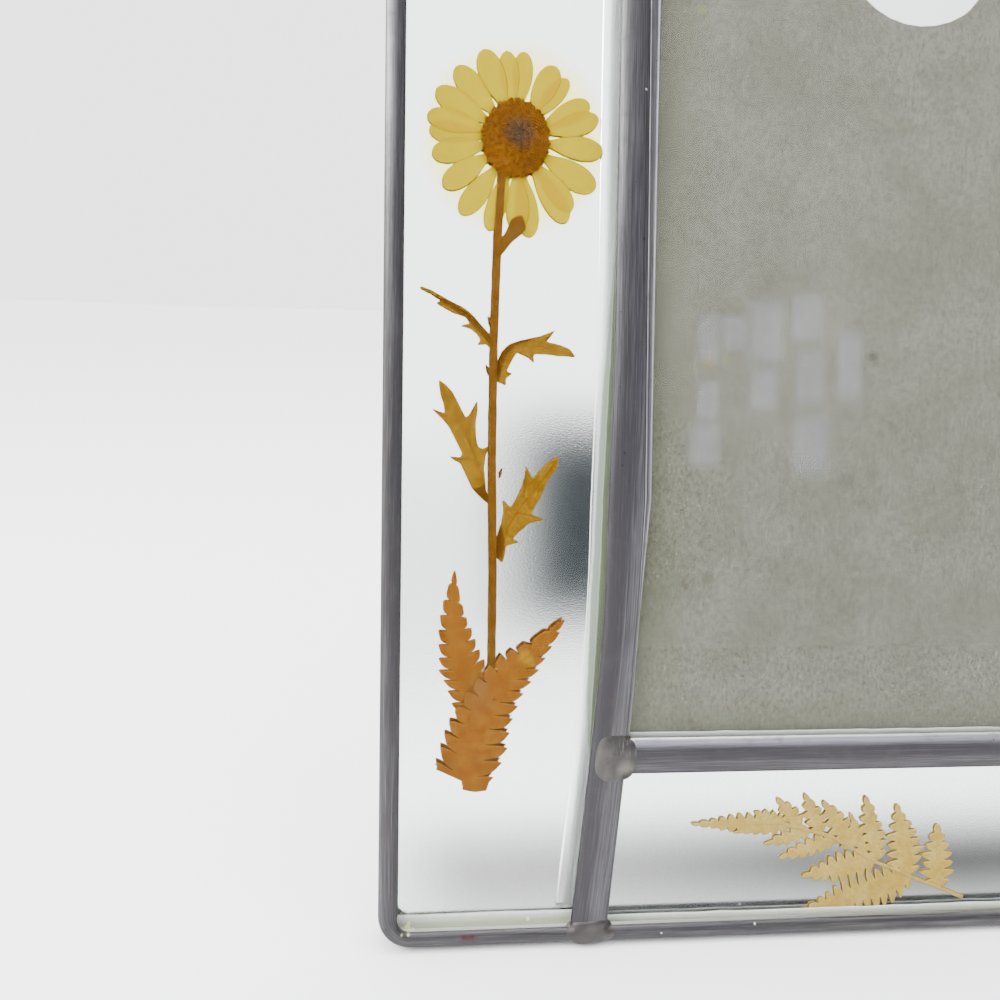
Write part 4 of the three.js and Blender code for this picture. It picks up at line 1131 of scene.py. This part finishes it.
# ---- Ferns
PINNA_LEFT = {
    "midrib": [(-48.7, 35.4), (-50.1, 38.5), (-51.5, 42.2), (-52.5, 46.6), (-52.8, 51.8), (-52.8, 56.9)],
    "left": [(-52.3, 35.1), (-53.5, 38.8), (-54.8, 42.4), (-55, 47), (-54.4, 52), (-52.9, 56.8)],
    "right": [(-46.4, 37.5), (-47.2, 40.6), (-48.8, 43.7), (-50.2, 47.4), (-51.6, 51.3), (-52.7, 56.8)],
    "lobes": 11,
}
PINNA_RIGHT = {
    "midrib": [(-51.2, 23.1), (-50.6, 28.3), (-49.3, 33.5), (-47.3, 37.9), (-44.2, 41.3), (-40.4, 44.8),
               (-35.9, 49.4)],
    "left": [(-55.5, 25.9), (-54.3, 30.5), (-52.5, 34.7), (-49.6, 39.5), (-45.8, 43.5), (-42, 45.6), (-36, 49.5)],
    "right": [(-47.5, 23.6), (-45.5, 28), (-44.2, 33), (-42.8, 37.3), (-40.2, 41.3), (-37.9, 45.2), (-35.8, 49.3)],
    "lobes": 13,
    "foot": [(-55.5, 26.5), (-51.3, 24.5), (-51.3, 23.2), (-49.4, 22.8), (-47.6, 23)],
}
# A lobe: place along it, and share of the way from the midrib to the edge
LOBE = [(0, 0.42), (0.04, 0.64), (0.12, 0.82), (0.28, 0.95), (0.5, 1.02), (0.72, 1.07), (0.87, 1.1), (0.94, 0.97),
        (0.975, 0.68)]


def curve_at(points, t):
    """A place on a smooth curve through evenly spaced points."""
    place_on = min(max(t, 0), 1) * (len(points) - 1)
    i = min(int(place_on), len(points) - 2)
    f = place_on - i
    p = [points[max(i - 1, 0)], points[i], points[i + 1], points[min(i + 2, len(points) - 1)]]
    return tuple(
        0.5 * (2 * b + (c - a) * f + (2 * a - 5 * b + 4 * c - d) * f * f + (3 * b - a - 3 * c + d) * f ** 3)
        for a, b, c, d in zip(*p)
    )


def between(start, end, share):
    return tuple(a + (b - a) * share for a, b in zip(start, end))


def lobed_edge(midrib, edge, lobes, shape, uneven, cut):
    """One side's lobes; where the foot is cut, the lowest lobe starts at its full width."""
    points, tips = [], []
    for i in range(lobes):
        size = 1 + uneven * rough(i * 3.1, edge[0][0], 1, 12)
        for spot, share in shape:
            if cut and i == 0 and spot < 0.3:
                continue
            t = (i + spot) / lobes
            root, out = curve_at(midrib, t), curve_at(edge, t)
            points.append(between(root, out, share * size))
        t = (i + 0.8) / lobes
        tips.append([curve_at(midrib, max(0, t - 0.7 / lobes)), curve_at(edge, t)])
    return points, tips


def pinna(piece, midrib, left, right, lobes, front, spacing, seed, rib=0.16, shape=LOBE, uneven=0.08, wave=0.05,
          foot=()):
    right_lobes, right_veins = lobed_edge(midrib, right, lobes, shape, uneven, foot)
    left_lobes, left_veins = lobed_edge(midrib, left, lobes, shape, uneven, foot)
    ribs = [curve_at(midrib, i / 24) for i in range(25)]
    veins = [(ribs, rib)] + [(vein, rib * 0.55) for vein in right_veins + left_veins]
    outline = [*foot, *right_lobes, midrib[-1], *left_lobes[::-1]]
    pressed_sheet(piece, outline, front, spacing, seed, wave, veins=veins)


def base_pinnae(material):
    forms = ("fern_pinna_left", PINNA_LEFT, PINNA_LEFT_W), ("fern_pinna_right", PINNA_RIGHT, PINNA_RIGHT_W)
    for node, form, front in forms:
        piece = Builder()
        pinna(piece, form["midrib"], form["left"], form["right"], form["lobes"], front, 0.24, len(node),
              foot=form.get("foot", ()))
        piece.make(f"pressed_{node}", material, [node])


# Marks on the base pinnae: greyer where they overlap the stem's end, a yellow patch, red specks
FERN_MARKS = [
    (-49, 37.5, 3.4, (0.13, 0.06, 0.015), 0.5), (-48.4, 39.6, 2.2, (0.15, 0.075, 0.025), 0.3),
    (-41.8, 43.7, 1.5, (0.3, 0.19, 0.01), 0.6), (-40.9, 42.8, 0.9, (0.27, 0.16, 0.01), 0.4),
    (-54.2, 45.9, 0.3, (0.08, 0.01, 0.0), 0.9), (-52.9, 45, 0.25, (0.08, 0.01, 0.0), 0.8),
    (-46.6, 37.2, 0.35, (0.07, 0.01, 0.0), 0.8), (-50.5, 34.2, 0.3, (0.07, 0.01, 0.0), 0.7),
    (-53.7, 27.2, 1.3, (0.14, 0.055, 0.01), 0.4), (-53.5, 30.4, 0.25, (0.07, 0.01, 0.0), 0.8),
]


# The frond: its stalk, then its tip and side pinnae as base, tip, half width
RACHIS = [(-6, 16.7), (0.1, 16.4), (3.8, 15.3), (8, 14.2), (12.3, 11.8), (15.7, 9.8), (24, 6.2), (31, 3.4)]
FROND_PINNAE = [
    ((0.1, 16.5), (-14.8, 16.6), 1.4), ((0.3, 16.3), (-4.5, 18.3), 1.2), ((3, 15.7), (-0.8, 20.5), 1.5),
    ((6.6, 14.6), (3.8, 21.1), 1.6), ((12.1, 12.2), (6.9, 19.8), 2.1), ((14, 10.9), (11.5, 17.8), 1.1),
    ((16.2, 10), (14, 20.5), 1.9), ((21.6, 7.3), (19.4, 19), 2.6), ((26.6, 5.1), (26.4, 15.6), 2.5),
    ((1.3, 15.9), (-8, 15.1), 0.9), ((4.7, 15.1), (-2.8, 13), 1.2), ((8.9, 13.6), (-0.2, 10.7), 1.5),
    ((15.5, 9.9), (3.7, 7.6), 2.4), ((22, 7), (3.9, 1.8), 3),
]
FROND_TAPER = [0.5, 1, 1, 0.8, 0.5, 0.1]
FRINGE = [(0, 0.42), (0.15, 0.66), (0.35, 0.9), (0.6, 1.06), (0.8, 1.12), (0.92, 0.9), (0.98, 0.6)]


def tapered_edge(base, tip, half):
    long = math.dist(base, tip)
    across = (-(tip[1] - base[1]) / long, (tip[0] - base[0]) / long)
    steps = len(FROND_TAPER) - 1
    return [tuple(a + (b - a) * i / steps + c * share * half for a, b, c in zip(base, tip, across))
            for i, share in enumerate(FROND_TAPER)]


def bottom_frond(material):
    piece = Builder()
    pressed_sheet(piece, strip(RACHIS, RACHIS_HALF), RACHIS_W, 0.25, 4, 0.02, veins=[(RACHIS, 0.2)])
    for number, (base, tip, half) in enumerate(FROND_PINNAE):
        lobes = max(4, round(math.dist(base, tip) / 1.5))
        midrib = [between(base, tip, i / 5) for i in range(6)]
        pinna(piece, midrib, tapered_edge(base, tip, half), tapered_edge(base, tip, -half), lobes,
              FROND_W + LAYER * (number % 3), 0.26, number, 0.1, FRINGE, 0.2, 0.04)
    piece.points = [(u, max(v, GLASS_FOOT), w) for u, v, w in piece.points]
    piece.make("pressed_bottom_fern", material, ["bottom_fern"])


# ---- Stage, light and camera
CAMERA_AT = Vector((-62.331, -165.133, 99.511)) * MM
CAMERA_YAW, CAMERA_PITCH, CAMERA_ROLL = (math.radians(a) for a in (-6.1246, 2.3503, 0.7816))


def camera():
    data = bpy.data.cameras.new("camera")
    data.sensor_width = data.lens = 36
    data.clip_start = 0.005
    made = linked("camera", data)
    turn = (Matrix.Rotation(-LEAN, 4, "X") @ Matrix.Rotation(CAMERA_YAW, 4, "Z")
            @ Matrix.Rotation(math.pi / 2 - CAMERA_PITCH, 4, "X") @ Matrix.Rotation(CAMERA_ROLL, 4, "Z"))
    made.matrix_world = Matrix.Translation(CAMERA_AT) @ turn
    bpy.context.scene.camera = made


def area_light(name, at, size, power, colour=(1, 1, 1)):
    data = bpy.data.lights.new(name, "AREA")
    data.size, data.energy, data.color = size, power, colour
    made = linked(name, data)
    made.location = at
    made.rotation_euler = (Vector((0, 0, 0.07)) - Vector(at)).to_track_quat("-Z", "Y").to_euler()


def staged(name, spots, material):
    mesh = bpy.data.meshes.new(name)
    mesh.from_pydata(spots, [], [(0, 1, 2, 3)])
    layer = mesh.uv_layers.new(name="card")
    for loop, uv in zip(layer.data, [(0, 0), (1, 0), (1, 1), (0, 1)]):
        loop.uv = uv
    mesh.materials.append(material)
    made = linked(name, mesh)
    return made


def studio_world():
    """An even pale room, brighter overhead and to the left, dim to the right."""
    world = bpy.data.worlds.new("studio")
    world.use_nodes = True
    room = Nodes(world.node_tree)
    ways = room.parts(room.node("ShaderNodeTexCoord").outputs["Generated"])
    left = room.ramp(ways["X"], -0.25, -0.9, 0, 1.2)
    right = room.ramp(ways["X"], 0.35, 0.85, 0, -1.1)
    above = room.ramp(ways["Z"], 0.45, 0.95, 0, 1.6)
    strength = room.math("ADD", room.math("ADD", left, right), room.math("ADD", above, 3.0))
    background = world.node_tree.nodes["Background"]
    background.inputs["Color"].default_value = (0.975, 0.98, 1, 1)
    room.feed(background.inputs["Strength"], strength)
    bpy.context.scene.world = world


def card(name, spots, colour, strength, softness, seen_by):
    """A soft-edged card that is seen only in reflections: by glossy rays, or through the glass."""
    material = bpy.data.materials.new(name)
    material.use_nodes = True
    material.node_tree.nodes.clear()
    s = Nodes(material.node_tree)
    spot = s.parts(s.node("ShaderNodeUVMap", uv_map="card").outputs["UV"])
    fades = []
    for axis, soft in zip(("X", "Y"), softness):
        near = s.ramp(spot[axis], 0, soft)
        fades.append(s.math("MULTIPLY", near, s.ramp(spot[axis], 1, 1 - soft)))
    strengths = s.ramp(spot["X"], 0.05, 0.32, *strength)
    shine = s.node("ShaderNodeEmission", {"Color": (*colour, 1), "Strength": strengths})
    clear = s.node("ShaderNodeBsdfTransparent")
    both = s.node("ShaderNodeMixShader", {0: s.math("MULTIPLY", *fades), 1: clear.outputs[0], 2: shine.outputs[0]})
    s.node("ShaderNodeOutputMaterial", {"Surface": both.outputs[0]})
    made = staged(name, spots, material)
    made.visible_camera = made.visible_diffuse = made.visible_shadow = False
    made.visible_glossy = seen_by == "gloss"
    made.visible_transmission = seen_by == "glass"


def facing_card(name, low, high, away, *looks):
    """A card parallel to the frame, this far in front of it, between two corners (u, v)."""
    corners = ((low[0], low[1]), (high[0], low[1]), (high[0], high[1]), (low[0], high[1]))
    card(name, [place(u, v, -away) for u, v in corners], *looks)


# Where the camera is on the frame's plane: u, v, and its distance in front of the glass
EYE_U, EYE_V, EYE_AWAY = -62.33, 74.02, 149.25


def mirrored(u, v, times):
    """The place, this many eye distances in front of the glass, that the camera sees reflected at (u, v)."""
    return (u + (u - EYE_U) * times, v + (v - EYE_V) * times)


# Window panes reflected in the photo window's glass: lower left and upper right corner on the glass
REFLECTIONS = [
    (-12.4, 91.2, -8.6, 96.2), (-8.6, 89.2, -3, 98.3), (-1.4, 93, 3.2, 99.6), (6.3, 84.3, 9.7, 93.9),
    (-7.5, 82.5, -3.6, 88.3), (-0.4, 83, 3.8, 91.2), (-16.2, 80.2, -12.9, 85.9), (-16.9, 73.9, -12.7, 79.6),
    (-0.4, 72.4, 4.6, 81.2), (-16.2, 89.6, -12.8, 96),
]


def reflected_cards():
    """What the frame's glass, silver and lead reflect of the room in front of it."""
    facing_card("dark_reflection", mirrored(-54, 42, 1), mirrored(-8, 87, 1), EYE_AWAY,
                (0.6, 0.8, 1), (0.045, 0.045), (0.38, 0.26), "glass")
    facing_card("bright_room", (-900, -10), (900, 1300), 1500, (0.98, 0.985, 1), (4.4, 4.1), (0.12, 0.12), "glass")
    facing_card("dim_room", (-620, -140), (1500, 900), 700, (0.95, 0.92, 1), (0.6, 0.35), (0.2, 0.2), "gloss")
    side_corners = [(0.9, y, z) for y, z in ((-1.2, -0.1), (0.6, -0.1), (0.6, 1.4), (-1.2, 1.4))]
    card("dim_side", side_corners, (0.95, 0.95, 1), (0.6, 0.6), (0.2, 0.2), "gloss")
    floor_corners = [(x, y, 0.002) for x, y in ((-0.075, -0.15), (0.3, -0.15), (0.3, 0.03), (-0.075, 0.03))]
    card("shaded_floor", floor_corners, (0.99, 0.985, 0.97), (1.25, 0.2), (0.08, 0.5), "glass")
    for i, (left, foot, right, top) in enumerate(REFLECTIONS):
        u, v = (right - left) * 0.3, (top - foot) * 0.25
        low, high = mirrored(left - u, foot - v, 3), mirrored(right + u, top + v, 3)
        facing_card(f"window_reflection_{i + 1}", low, high, 3 * EYE_AWAY, (0.6, 0.66, 1), (19, 19), (0.34, 0.3),
                    "gloss")


FLOOR_REACH = 3
CARD_CORNERS = [(-1, -1), (1, -1), (1, 1), (-1, 1)]


def stage():
    floor = Shader("pale_floor", roughness=0.9)
    floor.colour((0.87, 0.87, 0.875, 1))
    staged("floor", [(x * FLOOR_REACH, y * FLOOR_REACH, 0) for x, y in CARD_CORNERS], floor.material)
    studio_world()
    reflected_cards()
    area_light("key", (-0.55, -0.25, 0.5), 0.4, 7)
    area_light("top", (0.05, 0.1, 0.75), 0.5, 6)


camera()
stage()

lead = lead_material("drawn_lead", (0.037, 0.035, 0.037), (0.42, 0.41, 0.415), wear=0.25)
worked_lead = lead_material("dressed_lead", (0.037, 0.035, 0.038), (0.42, 0.415, 0.43), (0.04, 2.4), wear=0.25)
solder = solder_material()
wire = lead_material("tinned_wire", (0.07, 0.068, 0.066), (0.3, 0.295, 0.29), (0.4, 0.4), wear=0.4)
leaf = dried_material("golden_leaf", (0.22, 0.115, 0.007), (0.15, 0.072, 0.003), (0.057, 0.019, 0.001),
                      vein=(0.1, 0.035, 0.003))
stalk = dried_material("dry_stalk", (0.12, 0.052, 0.006), (0.085, 0.032, 0.002), (0.04, 0.014, 0.001),
                       vein=(0.11, 0.04, 0.003))
brown_fern = dried_material("orange_brown_fern", (0.215, 0.086, 0.01), (0.16, 0.052, 0.003), (0.08, 0.023, 0.001), 0.8,
                            (0.17, 0.05, 0.003), FERN_MARKS)
straw_fern = dried_material("straw_fern_frond", (0.52, 0.375, 0.11), (0.43, 0.28, 0.055), (0.28, 0.155, 0.015), 0.9,
                            (0.42, 0.27, 0.09))

border_came(lead)
vertical_came(worked_lead)
horizontal_came(worked_lead)
solder_joints(solder)
for name, u in LEGS.items():
    easel_leg(name, u, wire, solder)
daisy_petals(petal_material())
daisy_disc(disc_material())
daisy_stem(stalk)
pressed_leaves(leaf)
base_pinnae(brown_fern)
bottom_frond(straw_fern)

glass_margins(glass_material("clear_glass_pane", 1.1), glass_material("window_glass_pane", 1.2), edge_material())

silver = silver_material()
FINISHES = {
    "left_silvered_glass": silver, "bottom_silvered_glass": silver, "photo_backing_board": board_material(),
}
for node, material in FINISHES.items():
    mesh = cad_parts[node].data
    mesh.materials.clear()
    mesh.materials.append(material)
